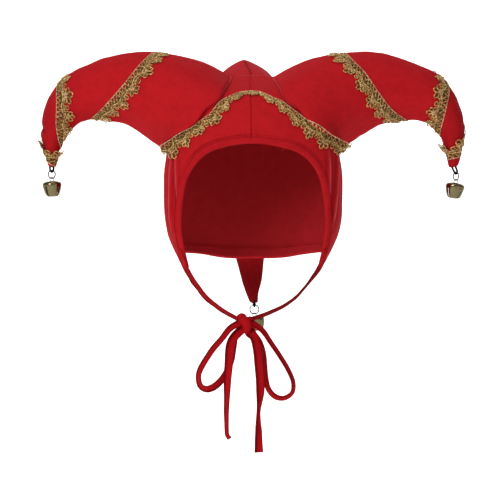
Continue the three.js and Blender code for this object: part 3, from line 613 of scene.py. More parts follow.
def set_painted_mark(piece, values, name="wear"):
    """How far the pile is rubbed and takes the pinkish painted sheen highlight, or lies in painted shade, at
    each point, which its finish reads.
    """
    values = np.asarray(values, float).ravel()
    full = np.zeros(len(piece.data.vertices))
    full[: len(values)] = values
    piece.data.attributes.new(name, "FLOAT", "POINT").data.foreach_set("value", full)


def ring_faces(rows, columns):
    """Quads between rings of points that follow one another."""
    faces = []
    for i in range(rows - 1):
        for j in range(columns):
            k = (j + 1) % columns
            faces.append((i * columns + j, i * columns + k, (i + 1) * columns + k, (i + 1) * columns + j))
    return faces


def tube_faces(rows, columns):
    """Rings with a flat face over each end."""
    ends = (range(columns)[::-1], range((rows - 1) * columns, rows * columns))
    return ring_faces(rows, columns) + [tuple(end) for end in ends]


def domed_faces(rows, columns):
    """Rings drawn together at both ends to one point each, which follow the rings."""
    faces = ring_faces(rows, columns)
    first = rows * columns
    last = first - columns
    for j in range(columns):
        k = (j + 1) % columns
        faces += [(first, k, j), (first + 1, last + j, last + k)]
    return faces


def fix_outward(piece):
    """Turns the faces so that they all look out."""
    work = bmesh.new()
    work.from_mesh(piece.data)
    bmesh.ops.recalc_face_normals(work, faces=work.faces)
    work.to_mesh(piece.data)
    work.free()


class Threads:
    """Many thin cords gathered into one mesh, each swept along points with the cloth's normals as its up."""

    def __init__(self):
        self.points, self.faces, self.uv, self.slots, self.count = [], [], [], [], 0

    def add(self, path, normals, radius, sides=5, closed=False, slot=0, flat=1.0):
        path, normals = np.asarray(path, float), np.asarray(normals, float)
        if closed:
            ahead = unit(np.roll(path, -1, 0) - np.roll(path, 1, 0))
        else:
            ahead = unit(np.gradient(path, axis=0))
        side = unit(np.cross(ahead, normals))
        up = np.cross(side, ahead)
        radius = np.broadcast_to(np.asarray(radius, float), len(path))
        angle = np.arange(sides) * 2 * math.pi / sides
        rings = (
            path[:, None]
            + side[:, None] * (np.cos(angle)[None, :, None] * radius[:, None, None])
            + up[:, None] * (np.sin(angle)[None, :, None] * radius[:, None, None] * flat)
        )
        run = length_along(path)
        uv = np.stack([np.repeat(run, sides), np.tile(np.arange(sides) / sides, len(path))], -1)
        n = len(path)
        i, j = np.meshgrid(np.arange(n if closed else n - 1), np.arange(sides), indexing="ij")
        a = i * sides + j
        b = i * sides + (j + 1) % sides
        c = ((i + 1) % n) * sides + (j + 1) % sides
        d = ((i + 1) % n) * sides + j
        faces = np.stack([a, b, c, d], -1).reshape(-1, 4) + self.count
        self.faces += [tuple(f) for f in faces.tolist()]
        self.slots += [slot] * len(faces)
        if not closed:
            first = list(range(self.count, self.count + sides))
            last = list(range(self.count + (n - 1) * sides, self.count + n * sides))
            self.faces += [tuple(first[::-1]), tuple(last)]
            self.slots += [slot, slot]
        self.points.append(rings.reshape(-1, 3))
        self.uv.append(uv)
        self.count += n * sides

    def build(self, name, materials, scale=1.0):
        piece = new_object(name, np.concatenate(self.points) * scale, self.faces, uv=np.concatenate(self.uv))
        for m in materials:
            piece.data.materials.append(m)
        piece.data.polygons.foreach_set("material_index", self.slots[: len(piece.data.polygons)])
        return piece


# Materials

def node(tree, kind, *sockets, **settings):
    """A new node with its settings, and pairs of a socket and the value or link that goes into it."""
    made = tree.nodes.new("ShaderNode" + kind)
    for key, value in settings.items():
        setattr(made, key, value)
    for socket, value in sockets:
        if isinstance(value, bpy.types.NodeSocket):
            tree.links.new(value, made.inputs[socket])
        else:
            made.inputs[socket].default_value = value
    return made


def new_material(name, **sockets):
    material = bpy.data.materials.new(name)
    material.use_nodes = True
    shader = material.node_tree.nodes["Principled BSDF"]
    for key, value in sockets.items():
        shader.inputs[key].default_value = value
    return material, material.node_tree, shader


def noise(tree, where, scale, detail=3.0, roughness=0.5):
    sockets = (("Vector", where), ("Scale", scale), ("Detail", detail), ("Roughness", roughness))
    return node(tree, "TexNoise", *sockets).outputs["Fac"]


def ramp(tree, factor, *stops):
    made = node(tree, "ValToRGB", ("Fac", factor))
    elements = made.color_ramp.elements
    while len(elements) < len(stops):
        elements.new(0.5)
    for element, (at, colour) in zip(elements, stops):
        element.position = at
        element.color = (*colour, 1)
    return made.outputs["Color"]


def bump(tree, shader, height, strength, distance, *before):
    sockets = (("Height", height), ("Strength", strength), ("Distance", distance), *before)
    made = node(tree, "Bump", *sockets)
    tree.links.new(made.outputs["Normal"], shader.inputs["Normal"])
    return made.outputs["Normal"]


def maths(tree, operation, a, b):
    return node(tree, "Math", (0, a), (1, b), operation=operation).outputs[0]


def painted(tree, name, colour, other):
    """One colour, and another where the piece is marked by that name."""
    share = node(tree, "Attribute", attribute_name=name).outputs["Fac"]
    return node(tree, "Mix", (0, share), (6, colour), (7, (*other, 1)), data_type="RGBA").outputs[2]


def object_place(tree):
    return node(tree, "TexCoord").outputs["Object"]


def mixed(colour, other, share):
    return tuple(a + (b - a) * share for a, b in zip(colour, other))


MATT = {"Roughness": 0.9, "Specular IOR Level": 0.1}
# Shares of the cloth's colour where its pile is brushed down, where it is brushed up, and in deep painted
# shade
NAP_DARK = 0.82
NAP_LIGHT = 1.12
IN_SHADE = 0.3
# Colour of rubbed pile, and of the pinkish painted sheen highlight on fold crests and seams
RUBBED_AND_SHEEN = (0.68, 0.12, 0.15)


def velvet(name, colour, sheen):
    """Short pile: a deep ground, soft mottling where the pile is brushed, and a rose sheen at the edges;
    where marked, a pinkish painted sheen highlight as on rubbed pile, and painted shade.
    """
    finish = {
        "Roughness": 0.8,
        "Specular IOR Level": 0.03,
        "Sheen Weight": sheen,
        "Sheen Roughness": 0.3,
        "Sheen Tint": (1.0, 0.3, 0.36, 1.0),
    }
    material, tree, shader = new_material(name, **finish)
    where = object_place(tree)
    deep, pale, shade = (tuple(c * share for c in colour) for share in (NAP_DARK, NAP_LIGHT, IN_SHADE))
    brushed = ramp(tree, noise(tree, where, 110.0, 8.0, 0.82), (0.3, deep), (0.5, colour), (0.72, pale))
    # Pinkish painted sheen highlight, as on rubbed pile, then painted shade, where the piece is marked for
    # them
    with_sheen_and_wear = painted(tree, "wear", brushed, RUBBED_AND_SHEEN)
    tree.links.new(painted(tree, "nap", with_sheen_and_wear, shade), shader.inputs["Base Color"])
    pile = bump(tree, shader, noise(tree, where, 1400.0, 2.0, 0.7), 0.25, 0.0004)
    bump(tree, shader, noise(tree, where, 95.0, 4.0, 0.55), 0.12, 0.0008, ("Normal", pile))
    return material


def gold_thread(name, dark, mid, light, metallic=0.15, roughness=0.35):
    """Metal-wrapped gimp: a bright helix round a dull core."""
    material, tree, shader = new_material(name, **{"Metallic": metallic, "Roughness": roughness})
    along = node(tree, "TexCoord").outputs["UV"]
    helix = node(tree, "TexWave", ("Vector", along), ("Scale", 0.55), ("Distortion", 0.6),
                 wave_type="BANDS", bands_direction="DIAGONAL").outputs["Fac"]
    patchy = maths(tree, "MULTIPLY", noise(tree, object_place(tree), 520.0, 3.0, 0.7), 1.6)
    wound = maths(tree, "SUBTRACT", maths(tree, "MULTIPLY", helix, 0.2), 0.42)
    shade = ramp(tree, maths(tree, "ADD", wound, patchy), (0.32, dark), (0.48, mid), (0.66, light))
    tree.links.new(shade, shader.inputs["Base Color"])
    bump(tree, shader, helix, 0.5, 0.0002)
    return material


MATERIALS = {}


def material(name):
    return MATERIALS[name]


# Settings

class HatSizes(bpy.types.PropertyGroup):
    tape_width: FloatProperty(
        name="Tape width", description="Width of the folded tape of the ties", default=0.0095, unit="LENGTH")
    tape_thick: FloatProperty(
        name="Tape thickness", description="Thickness of the folded tape", default=0.0018, unit="LENGTH")
    lace_width: FloatProperty(
        name="Lace width", description="Depth of the lace from its edge to its scallops", default=0.0206,
        unit="LENGTH")
    lobe_pitch: FloatProperty(
        name="Scallop pitch", description="Length of one scallop of the lace", default=0.019, unit="LENGTH")
    binding_width: FloatProperty(
        name="Binding width", description="Width of the tape round the face opening", default=0.0055,
        unit="LENGTH")
    bell_radius: FloatProperty(
        name="Bell radius", description="Half of a bell's greatest width", default=0.0104, unit="LENGTH")


class HatColours(bpy.types.PropertyGroup):
    velvet: FloatVectorProperty(
        name="Velvet", description="Ground colour of the velvet", default=(0.48, 0.0105, 0.015), size=3,
        subtype="COLOR")
    tape: FloatVectorProperty(
        name="Tape", description="Colour of the ties", default=(0.42, 0.006, 0.01), size=3, subtype="COLOR")
    gold: FloatVectorProperty(
        name="Gold", description="Middle colour of the lace thread", default=(0.5, 0.26, 0.05), size=3,
        subtype="COLOR")
    brass: FloatVectorProperty(
        name="Brass", description="Colour of the bells", default=(0.22, 0.18, 0.09), size=3, subtype="COLOR")


def sizes():
    return bpy.context.scene.hat_sizes


PIECES = {}


def dress(piece):
    """The piece rides on the hat."""
    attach(piece, "root")


def set_piece(piece, name):
    """The piece is dressed, and stands for the solid of its name."""
    PIECES[name] = piece
    dress(piece)
    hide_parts(name)
    return piece


# Camera, light and floor

VIEW_DISTANCE = 2.2
VIEW_WIDTH = 0.54
WORLD_LIGHT = 0.24
PAPER_GLOW = 0.28
FLOOR_UP = -0.62
FLOOR_FRONT = -9.0
FLOOR_SIDE = 9.0
WALL_BACK = 3.4
WALL_TOP = 2.4
WALL_BEND = 0.7
# Name, place, aim, width and height, power
LAMPS = (
    ("key", (-1.1, -1.9, 0.6), (0, 0, -0.1), (0.8, 0.8), 22),
    ("fill", (1.3, -1.8, 0.2), (0, 0, -0.15), (1.2, 1.6), 1.8),
    ("top", (0, -0.2, 1.5), (0, 0, 0), (0.9, 0.9), 8.5),
    ("wall", (0, 2.3, 1.6), (0, 3.4, -0.1), (2.4, 0.8), 48),
)


class HAT_OT_stage(bpy.types.Operator):
    """Puts up the camera, the soft lights and the plain pale floor"""
    bl_idname = "hat.stage"
    bl_label = "Stage"

    def execute(self, context):
        scene = context.scene
        scene.view_settings.view_transform = "Standard"
        scene.view_settings.look = "None"
        camera = bpy.data.objects.new("camera", bpy.data.cameras.new("camera"))
        scene.collection.objects.link(camera)
        camera.location = (-0.0027, -VIEW_DISTANCE, -0.1793)
        camera.rotation_euler = (math.radians(90), 0, 0)
        camera.data.sensor_width = 36
        camera.data.lens = 36 * VIEW_DISTANCE / VIEW_WIDTH
        camera.data.clip_end = 20
        scene.camera = camera
        world = bpy.data.worlds.new("studio")
        scene.world = world
        world.use_nodes = True
        light = world.node_tree.nodes["Background"].inputs
        light["Color"].default_value = (1, 1, 1, 1)
        light["Strength"].default_value = WORLD_LIGHT
        for lamp in LAMPS:
            self.area(scene, *lamp)
        self.backdrop()
        return {"FINISHED"}

    def area(self, scene, name, place, aim, size, power):
        light = bpy.data.lights.new(name, "AREA")
        light.shape = "RECTANGLE"
        light.size, light.size_y = size
        light.energy = power
        lamp = bpy.data.objects.new(name, light)
        scene.collection.objects.link(lamp)
        lamp.location = place
        lamp.rotation_euler = (Vector(aim) - Vector(place)).to_track_quat("-Z", "Y").to_euler()

    def backdrop(self):
        """Paper that runs over the floor and up the wall in one bend."""
        start = WALL_BACK - WALL_BEND
        profile = [(FLOOR_FRONT, FLOOR_UP), (start, FLOOR_UP)]
        for i in range(1, 13):
            turn = math.radians(90 * i / 12)
            up = FLOOR_UP + WALL_BEND - WALL_BEND * math.cos(turn)
            profile.append((start + WALL_BEND * math.sin(turn), up))
        profile.append((WALL_BACK, WALL_TOP))
        points = [(x, y, z) for y, z in profile for x in (-FLOOR_SIDE, FLOOR_SIDE)]
        faces = [(2 * i, 2 * i + 1, 2 * i + 3, 2 * i + 2) for i in range(len(profile) - 1)]
        paper, tree, shader = new_material("backdrop_paper", **MATT)
        grain = noise(tree, object_place(tree), 60.0)
        shade = ramp(tree, grain, (0.0, (0.93, 0.93, 0.93)), (1.0, (0.96, 0.96, 0.96)))
        tree.links.new(shade, shader.inputs["Base Color"])
        shader.inputs["Emission Color"].default_value = (1, 1, 1, 1)
        shader.inputs["Emission Strength"].default_value = PAPER_GLOW
        new_object("backdrop", points, faces, paper)


# Materials of the hat

class HAT_OT_finishes(bpy.types.Operator):
    """Mixes the velvet, tape, gold thread and metal finishes"""
    bl_idname = "hat.finishes"
    bl_label = "Finishes"

    def execute(self, context):
        shades = context.scene.hat_colours
        cloth, tape, gold = tuple(shades.velvet), tuple(shades.tape), tuple(shades.gold)
        deep_gold = mixed(gold, (0.05, 0.025, 0.006), 0.8)
        made = {
            "velvet": velvet("red_velvet", cloth, 0.05),
            "lining": velvet("red_lining", mixed(cloth, (0.2, 0.03, 0.036), 0.25), 0.03),
            "tape": velvet("red_tape", tape, 0.05),
            # The binding is the velvet made a little darker, as painted shade
            "binding": velvet("red_binding", tuple(c * 0.92 for c in cloth), 0.04),
            "stitch": velvet("red_stitching", tuple(c * 0.85 for c in tape), 0.1),
            "gold": gold_thread("gold_gimp", deep_gold, gold, (0.97, 0.7, 0.25)),
            "rose_gold": gold_thread(
                "rose_gold_thread", (0.24, 0.08, 0.035), (0.7, 0.38, 0.2), (1.0, 0.74, 0.48)),
            # The lace's dull ground thread, coloured dark brown-red as painted shade between the bright
            # threads
            "dull_gold": gold_thread(
                "dull_gold_ground", (0.05, 0.015, 0.006), (0.14, 0.05, 0.018), (0.26, 0.12, 0.045), 0.0, 0.7),
            "brass": self.metal("bell_brass", tuple(shades.brass), 0.16),
            # Near-black metal inside the bells, as painted shade in their hollows
            "bell_inside": self.metal("bell_inside", (0.02, 0.014, 0.006), 0.6),
            "steel": self.metal("ring_steel", (0.03, 0.028, 0.029), 0.45, (0.3, 0.3, 0.3, 1)),
            "elastic": self.elastic(),
        }
        MATERIALS.update(made)
        return {"FINISHED"}

    def elastic(self):
        cord, tree, shader = new_material("black_elastic", **MATT)
        weave = node(tree, "TexWave", ("Vector", object_place(tree)), ("Scale", 900), ("Distortion", 1.5))
        weave = weave.outputs["Fac"]
        shade = ramp(tree, weave, (0.2, (0.002, 0.002, 0.002)), (0.8, (0.008, 0.008, 0.009)))
        tree.links.new(shade, shader.inputs["Base Color"])
        bump(tree, shader, weave, 0.5, 0.0002)
        return cord

    def metal(self, name, colour, roughness, tint=(1, 1, 1, 1)):
        """Metal with a little tarnish, duller where it is tarnished."""
        finish = {"Metallic": 1.0, "Roughness": roughness, "Specular Tint": tint}
        made, tree, shader = new_material(name, **finish)
        where = object_place(tree)
        tarnish = noise(tree, where, 260.0, 5.0, 0.65)
        stained = mixed(colour, (0.3, 0.2, 0.08), 0.45)
        shade = ramp(tree, tarnish, (0.25, stained), (0.5, colour), (0.8, colour))
        tree.links.new(shade, shader.inputs["Base Color"])
        range_of = (("Value", tarnish), ("To Min", roughness * 1.5), ("To Max", roughness * 0.7))
        tree.links.new(node(tree, "MapRange", *range_of).outputs["Result"], shader.inputs["Roughness"])
        bump(tree, shader, noise(tree, where, 130.0, 2.0), 0.12, 0.0004)
        return made


# Ties and bow

CURVE_STEPS = 40
TAPE_STEP = 0.0012
TAPE_PITCH = 0.0026
STITCH_RADIUS = 0.00022
STITCH_ROW = 0.62


def smooth_path(route, step):
    """Evenly spaced points, tangents and twists along a route of points, and its length."""
    rows = np.array(route, float)
    n = len(rows)
    p = np.vstack([2 * rows[0] - rows[1], rows, 2 * rows[-1] - rows[-2]])
    fine = []
    for i in range(n - 1):
        a, b, c, d = p[i : i + 4]
        t = np.linspace(0, 1, CURVE_STEPS, endpoint=i == n - 2)[:, None]
        curve = 2 * b + (c - a) * t + (2 * a - 5 * b + 4 * c - d) * t**2
        fine.append(0.5 * (curve + (3 * b - a - 3 * c + d) * t**3))
    fine = np.vstack(fine)
    run = length_along(fine[:, :3])
    count = max(int(run[-1] / step), 4)
    out = read_at(np.linspace(0, run[-1], count + 1), run, fine)
    return out[:, :3], unit(np.gradient(out[:, :3], axis=0)), out[:, 3], run[-1]


# Half a section of folded tape: out from the middle and up, as shares of the width and thickness.
# The cloth is folded to one side, and a row of stitches draws it in near the open edges.
TAPE_SECTION = (
    (-1.0, 0.25), (-0.95, 0.7), (-0.84, 0.98), (-0.6, 0.86), (-0.3, 0.92), (0.0, 0.95), (0.3, 0.95),
    (0.45, 0.92), (0.62, 0.5), (0.76, 0.95), (0.95, 0.8), (1.0, 0.35),
)
# How deep in shade the tape lies at the same points, and the least shade of the two ties
TAPE_SHADE = (0.35, 0.45, 0.3, 0.0, 0.0, 0.0, 0.15, 0.75, 1.0, 0.9, 0.45, 0.3)
TIE_SHADE = {"tie_left": 0.25, "tie_right": 0.6}


def make_tape(name, route):
    """One length of folded tape, and its stitches."""
    width, thick = sizes().tape_width, sizes().tape_thick
    path, ahead, twist, length = smooth_path(route, TAPE_STEP)
    run = np.linspace(0, length, len(path))
    tie = name in TIE_SHADE
    face = unit(np.array([0.0, -1.0, 0.0]) + ahead * ahead[:, 1:2])
    turn = np.radians(twist)[:, None]
    face = face * np.cos(turn) + np.cross(ahead, face) * np.sin(turn)
    side = np.cross(ahead, face)
    section = TAPE_SECTION + tuple((u, -v) for u, v in TAPE_SECTION[::-1])
    rng = random.Random(name)
    uneven = [rng.uniform(-1, 1) for _ in range(14)]
    wobble = np.interp(np.linspace(0, 1, len(path)), np.linspace(0, 1, 14), uneven)
    slim = 0.55 + 0.45 * smoothstep(run, 0, 0.012) if tie else np.ones(len(path))
    rings = []
    for u, v in section:
        across = side * (u * width / 2) * ((1 + 0.035 * wobble) * slim)[:, None]
        cup = face * (0.00035 * (u * u) * (1 + wobble[:, None]))
        rings.append(path + across + cup + face * (v * thick / 2))
    points = np.stack(rings, 1).reshape(-1, 3)
    piece = new_object(name, points, tube_faces(len(path), len(section)), material("tape"))
    fix_outward(piece)
    # Painted shade across the tape's section, deeper where the tape turns edge-on; on the ties it fades out
    # where they start on the binding
    shade = np.maximum(TAPE_SHADE + TAPE_SHADE[::-1], TIE_SHADE.get(name, 0.0))
    turned = 0.55 * smoothstep(np.abs(twist), 64, 80)
    nap = turned[:, None] * (1 - shade[None, :]) + shade[None, :]
    if tie:
        nap = nap * smoothstep(run, 0.012, 0.03)[:, None]
    set_painted_mark(piece, nap, "nap")
    stitches = Threads()
    row = path + side * (STITCH_ROW * width / 2)
    for k in range(int(length / TAPE_PITCH) - 1):
        ends = (k + 0.5) * TAPE_PITCH + TAPE_PITCH * np.array([0, 0.35, 0.7])
        up = read_at(ends, run, face)
        for sign in (1, -1):
            lift = thick * 0.33 + np.array([0.0, 0.00012, 0.0])
            stitches.add(read_at(ends, run, row) + up * sign * lift[:, None], up * sign, STITCH_RADIUS, 4)
    sewing = stitches.build(name + "_stitches", [material("stitch")])
    dress(sewing)
    set_piece(piece, name)
    return piece, sewing, path, length


# The knot's strands: places across, front-back and up in mm, then half their width
KNOT_BANDS = (
    (((-8.5, 2, 8), (-5, -4, 6.5), (-1, -6.5, 2), (1, -6, -3), (0.5, -4, -7.5), (-0.5, -1, -10)), 4.6),
    (((-10, 0, 5), (-7.5, -3, 8.5), (-3, -3, 9.2), (0, -1, 6.5)), 2.6),
    (((7, -1, 5.5), (3, -3, 5), (-1, -3, 3)), 3.0),
    (((-9, 0, 1), (-5, -2, 1), (0, -2, 0)), 3.8),
    (((7, -1, -2), (3, -3, -1.5), (-1, -3, -1)), 3.8),
    (((-5, 0, -3), (0, -1, -5), (4, 0, -4)), 3.2),
)


class HAT_OT_ties(bpy.types.Operator):
    """Makes the two ties, the bow's loops and tails, and the knot"""
    bl_idname = "hat.ties"
    bl_label = "Ties and bow"

    def execute(self, context):
        knot = self.knot()
        ends = {
            "tie_left": (self.from_jaw(TIE_LEFT, -1), "knot"),
            "tie_right": (self.from_jaw(TIE_RIGHT, 1), "knot"),
            "bow_loop_left": (BOW_LOOP_LEFT, "knot"),
            "bow_loop_right": (BOW_LOOP_RIGHT, "knot"),
            "tie_tail_left": (TIE_TAIL_LEFT, "bare"),
            "tie_tail_right": (TIE_TAIL_RIGHT, "bare"),
        }
        for name, (route, far_end) in ends.items():
            piece, sewing, path, length = make_tape(name, route)
        return {"FINISHED"}

    def from_jaw(self, route, side):
        """The route with its start carried up the binding, where the tie is sewn on."""
        up = [edge_point(np.array([side * at]), 1.7)[0] * MM for at in (0.322, 0.34)]
        return tuple((*p, route[0][3]) for p in up) + route

    def knot(self):
        """Tape wrapped over itself: strands pressed together, then smoothed into one lump with creases."""
        threads = Threads()
        for route, wide in KNOT_BANDS:
            path, _, _, _ = smooth_path([(*place, 0) for place in route], 0.8)
            out = unit(path + np.array([0, -0.5, 0]))
            taper = np.sin(np.linspace(0.18, math.pi - 0.18, len(path))) ** 0.35
            threads.add(path, out, wide * taper, 14, flat=0.55)
        lump = threads.build("bow_knot", [material("tape")])
        lump.data.transform(Matrix.Translation(Vector(KNOT_CENTRE)) @ Matrix.Scale(MM, 4))
        remesh = lump.modifiers.new("merge", "REMESH")
        remesh.mode = "VOXEL"
        remesh.voxel_size = 0.00055
        relax = lump.modifiers.new("relax", "SMOOTH")
        relax.iterations = 3
        relax.factor = 0.5
        apply_modifiers(lump)
        return set_piece(lump, "bow_knot")


def apply_modifiers(piece):
    """Puts the modifiers' result into the mesh."""
    graph = bpy.context.evaluated_depsgraph_get()
    made = bpy.data.meshes.new_from_object(piece.evaluated_get(graph), depsgraph=graph)
    old = piece.data
    piece.modifiers.clear()
    piece.data = made
    made.name = piece.name
    bpy.data.meshes.remove(old)
    made.polygons.foreach_set("use_smooth", [True] * len(made.polygons))
    made.update()


# Hood

HOOD_COLUMNS = 520
HOOD_RINGS = 108
LINING_RINGS = 62
SEAM_AT = -0.0016
HEM_DEPTH = 10.5
HEM_THICK = 0.9
# How much closer the rings lie at the edge, and how far the lining follows the folds
EDGE_CROWDING = 1.3
LINING_FOLDS = 0.7
CROWN_RISE = 8.3
# Strength of the pinkish painted sheen highlight along the fold crests, also rubbed pile, and of the painted
# shade beside them
CREST_WEAR_AND_SHEEN = 0.55
HOLLOW_SHADE = 0.4


def hood_stops():
    """Places round the hood's edge, close together at the crown seam and along the folds."""
    fine = np.linspace(-0.5, 0.5, 4001)
    middle = (fine[1:] + fine[:-1]) / 2
    side = smoothstep(np.abs(middle), 0.27, 0.3) * (1 - smoothstep(np.abs(middle), 0.46, 0.49))
    crowd = 1 + 3 * side + 9 * hump(middle - SEAM_AT, 0.004)
    run = np.concatenate([[0], np.cumsum(crowd)])
    return np.interp(np.arange(HOOD_COLUMNS) / HOOD_COLUMNS * run[-1], run, fine)


def edge_point(at, lift=0.0, folds=1.0):
    return on_hood(hood_place(EDGE_LOOP, at), lift, folds)


def wrinkles(points, scale, depth, seed):
    """Slow uneven waves in the cloth, the same each run."""
    rng = random.Random(seed)
    rise = np.zeros(len(points))
    for _ in range(9):
        way = np.array([rng.gauss(0, 1) for _ in range(3)])
        way *= rng.uniform(0.6, 1.5) / (np.linalg.norm(way) * scale)
        rise += np.sin(points @ way * 2 * math.pi + rng.uniform(0, 6.28))
    return rise * depth / 3


class HAT_OT_hood(bpy.types.Operator):
    """Makes the hood's shell with its folds, seam and hem"""
    bl_idname = "hat.hood"
    bl_label = "Hood"

    def execute(self, context):
        at = hood_stops()
        edge = edge_point(at, 0, 0)
        outside = self.skin(edge, HOOD_RINGS, 0, 1.0)
        ray = unit(outside - HOOD_CENTRE)
        flat = outside.reshape(-1, 3)
        rise = wrinkles(flat, 62.0, 0.45, 3) + self.seam(flat) + self.crown(flat)
        outside = outside + ray * rise.reshape(ray.shape[:2])[..., None]
        # Painted sheen highlight on the fold crests, as on rubbed pile, and painted shade in the hollows
        # beside them
        crests = fold_rise(flat, "crests") * CREST_WEAR_AND_SHEEN
        hollows = fold_rise(flat, "sides") * HOLLOW_SHADE
        inside = self.skin(edge, LINING_RINGS, -WALL, LINING_FOLDS)
        ray = unit(inside - HOOD_CENTRE)
        flat = inside.reshape(-1, 3)
        from_edge = np.linalg.norm(inside - inside[-1:], axis=-1)
        behind = smoothstep(np.abs(at), 0.36, 0.38)[None, :]
        hem = -HEM_THICK * behind * (1 - smoothstep(from_edge, HEM_DEPTH - 1, HEM_DEPTH + 1))
        rise = wrinkles(flat, 50.0, 0.6, 8) + self.seam(flat) * 0.6
        inside = inside + ray * (rise.reshape(hem.shape) + hem)[..., None]
        pole = on_hood((HOOD_CENTRE + CROWN_POLE)[None])[0]
        rings = np.concatenate([outside, inside[::-1]]).reshape(-1, 3)
        points = np.vstack([rings, pole, pole - CROWN_POLE * WALL]) * MM
        rows = HOOD_RINGS + LINING_RINGS
        hood = new_object("hood", points, domed_faces(rows, HOOD_COLUMNS), material("velvet"))
        fix_outward(hood)
        hood.data.materials.append(material("lining"))
        lining = np.zeros(len(hood.data.polygons), int)
        lining[HOOD_RINGS * HOOD_COLUMNS : (rows - 1) * HOOD_COLUMNS] = 1
        hood.data.polygons.foreach_set("material_index", lining)
        set_piece(hood, "hood")
        set_painted_mark(hood, crests)
        set_painted_mark(hood, hollows, "nap")
        self.sewing(at, inside)
        return {"FINISHED"}

    def skin(self, edge, rings, lift, folds):
        """Rings of points from the crown to the edge, closer together at the edge."""
        way = unit(edge - HOOD_CENTRE)
        bend = np.arccos(np.clip(way @ CROWN_POLE, -1, 1))
        share = 1 - (1 - np.arange(1, rings + 1) / rings) ** EDGE_CROWDING
        a = np.sin((1 - share)[:, None] * bend[None, :])[..., None] * CROWN_POLE
        b = np.sin(share[:, None] * bend[None, :])[..., None] * way[None]
        return on_hood((a + b + HOOD_CENTRE).reshape(-1, 3), lift, folds).reshape(rings, len(edge), 3)

    def seam(self, points):
        """The seam down the middle of the crown, drawn in a little, with the cloth puffed beside it."""
        x = points[:, 0] + 1.1 + 0.045 * np.clip(points[:, 2] + 30, 0, 40)
        shown = smoothstep(-points[:, 1], -20, 0) * smoothstep(points[:, 2], -75, -68)
        puff = 0.35 * np.exp(-((np.abs(x) - 2.4) ** 2) / 2.0)
        return (-1.3 * hump(x, 0.55) + puff) * shown

    def crown(self, points):
        """The crown rises to meet the back horn, so the cloth runs up between the side horns."""
        x, y, z = points.T
        climb = np.clip((y + 46) / 54, 0, 1) ** 1.5 * (1 - smoothstep(y, 9, 17))
        return CROWN_RISE * climb * (1 - smoothstep(np.abs(x), 24, 33)) * (z > -30)

    def sewing(self, at, inside):
        """Stitches along the hem, inside the back of the neck."""
        threads = Threads()
        from_edge = np.linalg.norm(inside - inside[-1:], axis=-1)
        row = np.argmin(np.abs(from_edge - (HEM_DEPTH - 2.0)), axis=0)
        picked = inside[row, np.arange(len(at))]
        keep = np.abs(at) > 0.37
        order = np.argsort(np.where(at < 0, at + 1, at)[keep])
        line = blur(picked[keep][order], 0, 6)
        sew(threads, line, unit(HOOD_CENTRE - line), 3.0, 0.3)
        piece = threads.build("hem_stitches", [material("stitch")], MM)
        dress(piece)


# One stitch: places along it as shares of the pitch, and how high they lie in mm
STITCH_AT = np.array([0.12, 0.3, 0.5, 0.7, 0.88])
STITCH_UP = np.array([-0.25, 0.12, 0.2, 0.12, -0.25])[:, None]


def sew(threads, line, up, pitch, radius):
    """Short stitches along a line, each sunk at its ends."""
    run = length_along(line)
    for k in range(int(run[-1] / pitch)):
        want = (k + STITCH_AT) * pitch
        lift = read_at(want, run, up)
        threads.add(read_at(want, run, line) + lift * STITCH_UP, lift, radius, 4)


BINDING_END = 0.362
BINDING_COLUMNS = 560
FOLD_ROUND = 1.3
SEWN_IN = 2.6


class HAT_OT_binding(bpy.types.Operator):
    """Makes the folded tape round the face opening, with its stitches"""
    bl_idname = "hat.binding"
    bl_label = "Face binding"

    def execute(self, context):
        wide = sizes().binding_width / MM
        at = np.linspace(-BINDING_END, BINDING_END, BINDING_COLUMNS)
        here = edge_point(at)
        ahead = unit(blur(np.gradient(here, axis=0), 0, 3))
        out = unit(here - HOOD_CENTRE)
        away = unit(np.cross(ahead, out))
        slow = wrinkles(here, 15.0, 0.14, 5)
        # On the left the tape was sewn a little further in
        lean = SEWN_IN * smoothstep(-here[:, 0], 35, 70)[:, None]
        rows = []
        for off, lift in self.section(wide):
            if off <= 0.05:
                rows.append(here - away * (off - lean) + out * lift)
                continue
            rise = lift + slow * (1 if lift > 0.5 else 0.3)
            held = np.maximum(off - lean, 0.05)
            level = on_hood(here - away * held, 0.0, 1.0)
            rows.append(level + unit(level - HOOD_CENTRE) * rise[:, None] - away * (off - lean - held))
        points = np.stack(rows, 1).reshape(-1, 3)
        faces = tube_faces(len(at), len(rows))
        binding = new_object("face_binding", points * MM, faces, material("binding"))
        fix_outward(binding)
        set_piece(binding, "face_binding")
        threads = Threads()

        def row(off):
            line = on_hood(here - away * (off - lean), 0.0, 1.0)
            return line, unit(line - HOOD_CENTRE)

        # A continuous thread of the stitching's dark red along the binding's outer edge: a painted shadow
        # line in the groove where the binding meets the hood
        line, up = row(wide + 0.45)
        threads.add(line + up * 0.1, up, 0.4, 5)
        for off, lift, pitch in ((wide - 1.0, 1.45, 2.6), (wide + 2.9, 0.25, 2.8)):
            line, up = row(off)
            sew(threads, line + up * lift, up, pitch, 0.28)
        piece = threads.build("binding_stitches", [material("stitch")], MM)
        dress(piece)
        return {"FINISHED"}

    def section(self, wide):
        """Out from the edge and up from the cloth in mm: over the outside, round the edge and back inside."""
        outside = [
            (wide, 0.2), (wide + 0.15, 0.9), (wide - 0.5, 1.55), (wide * 0.72, 1.75), (wide * 0.4, 1.8),
            (wide * 0.12, 1.6),
        ]
        inside = [(wide * 0.4, -3.3), (wide * 0.9, -3.1), (wide, -2.35), (0.4, -2.35), (0.4, 0.2)]
        edge = []
        for k in range(7):
            turn = math.pi * (0.5 + k / 6)
            edge.append((FOLD_ROUND * math.cos(turn) + 0.2, -0.9 + 2.2 * math.sin(turn)))
        return outside + edge + inside


# Horns

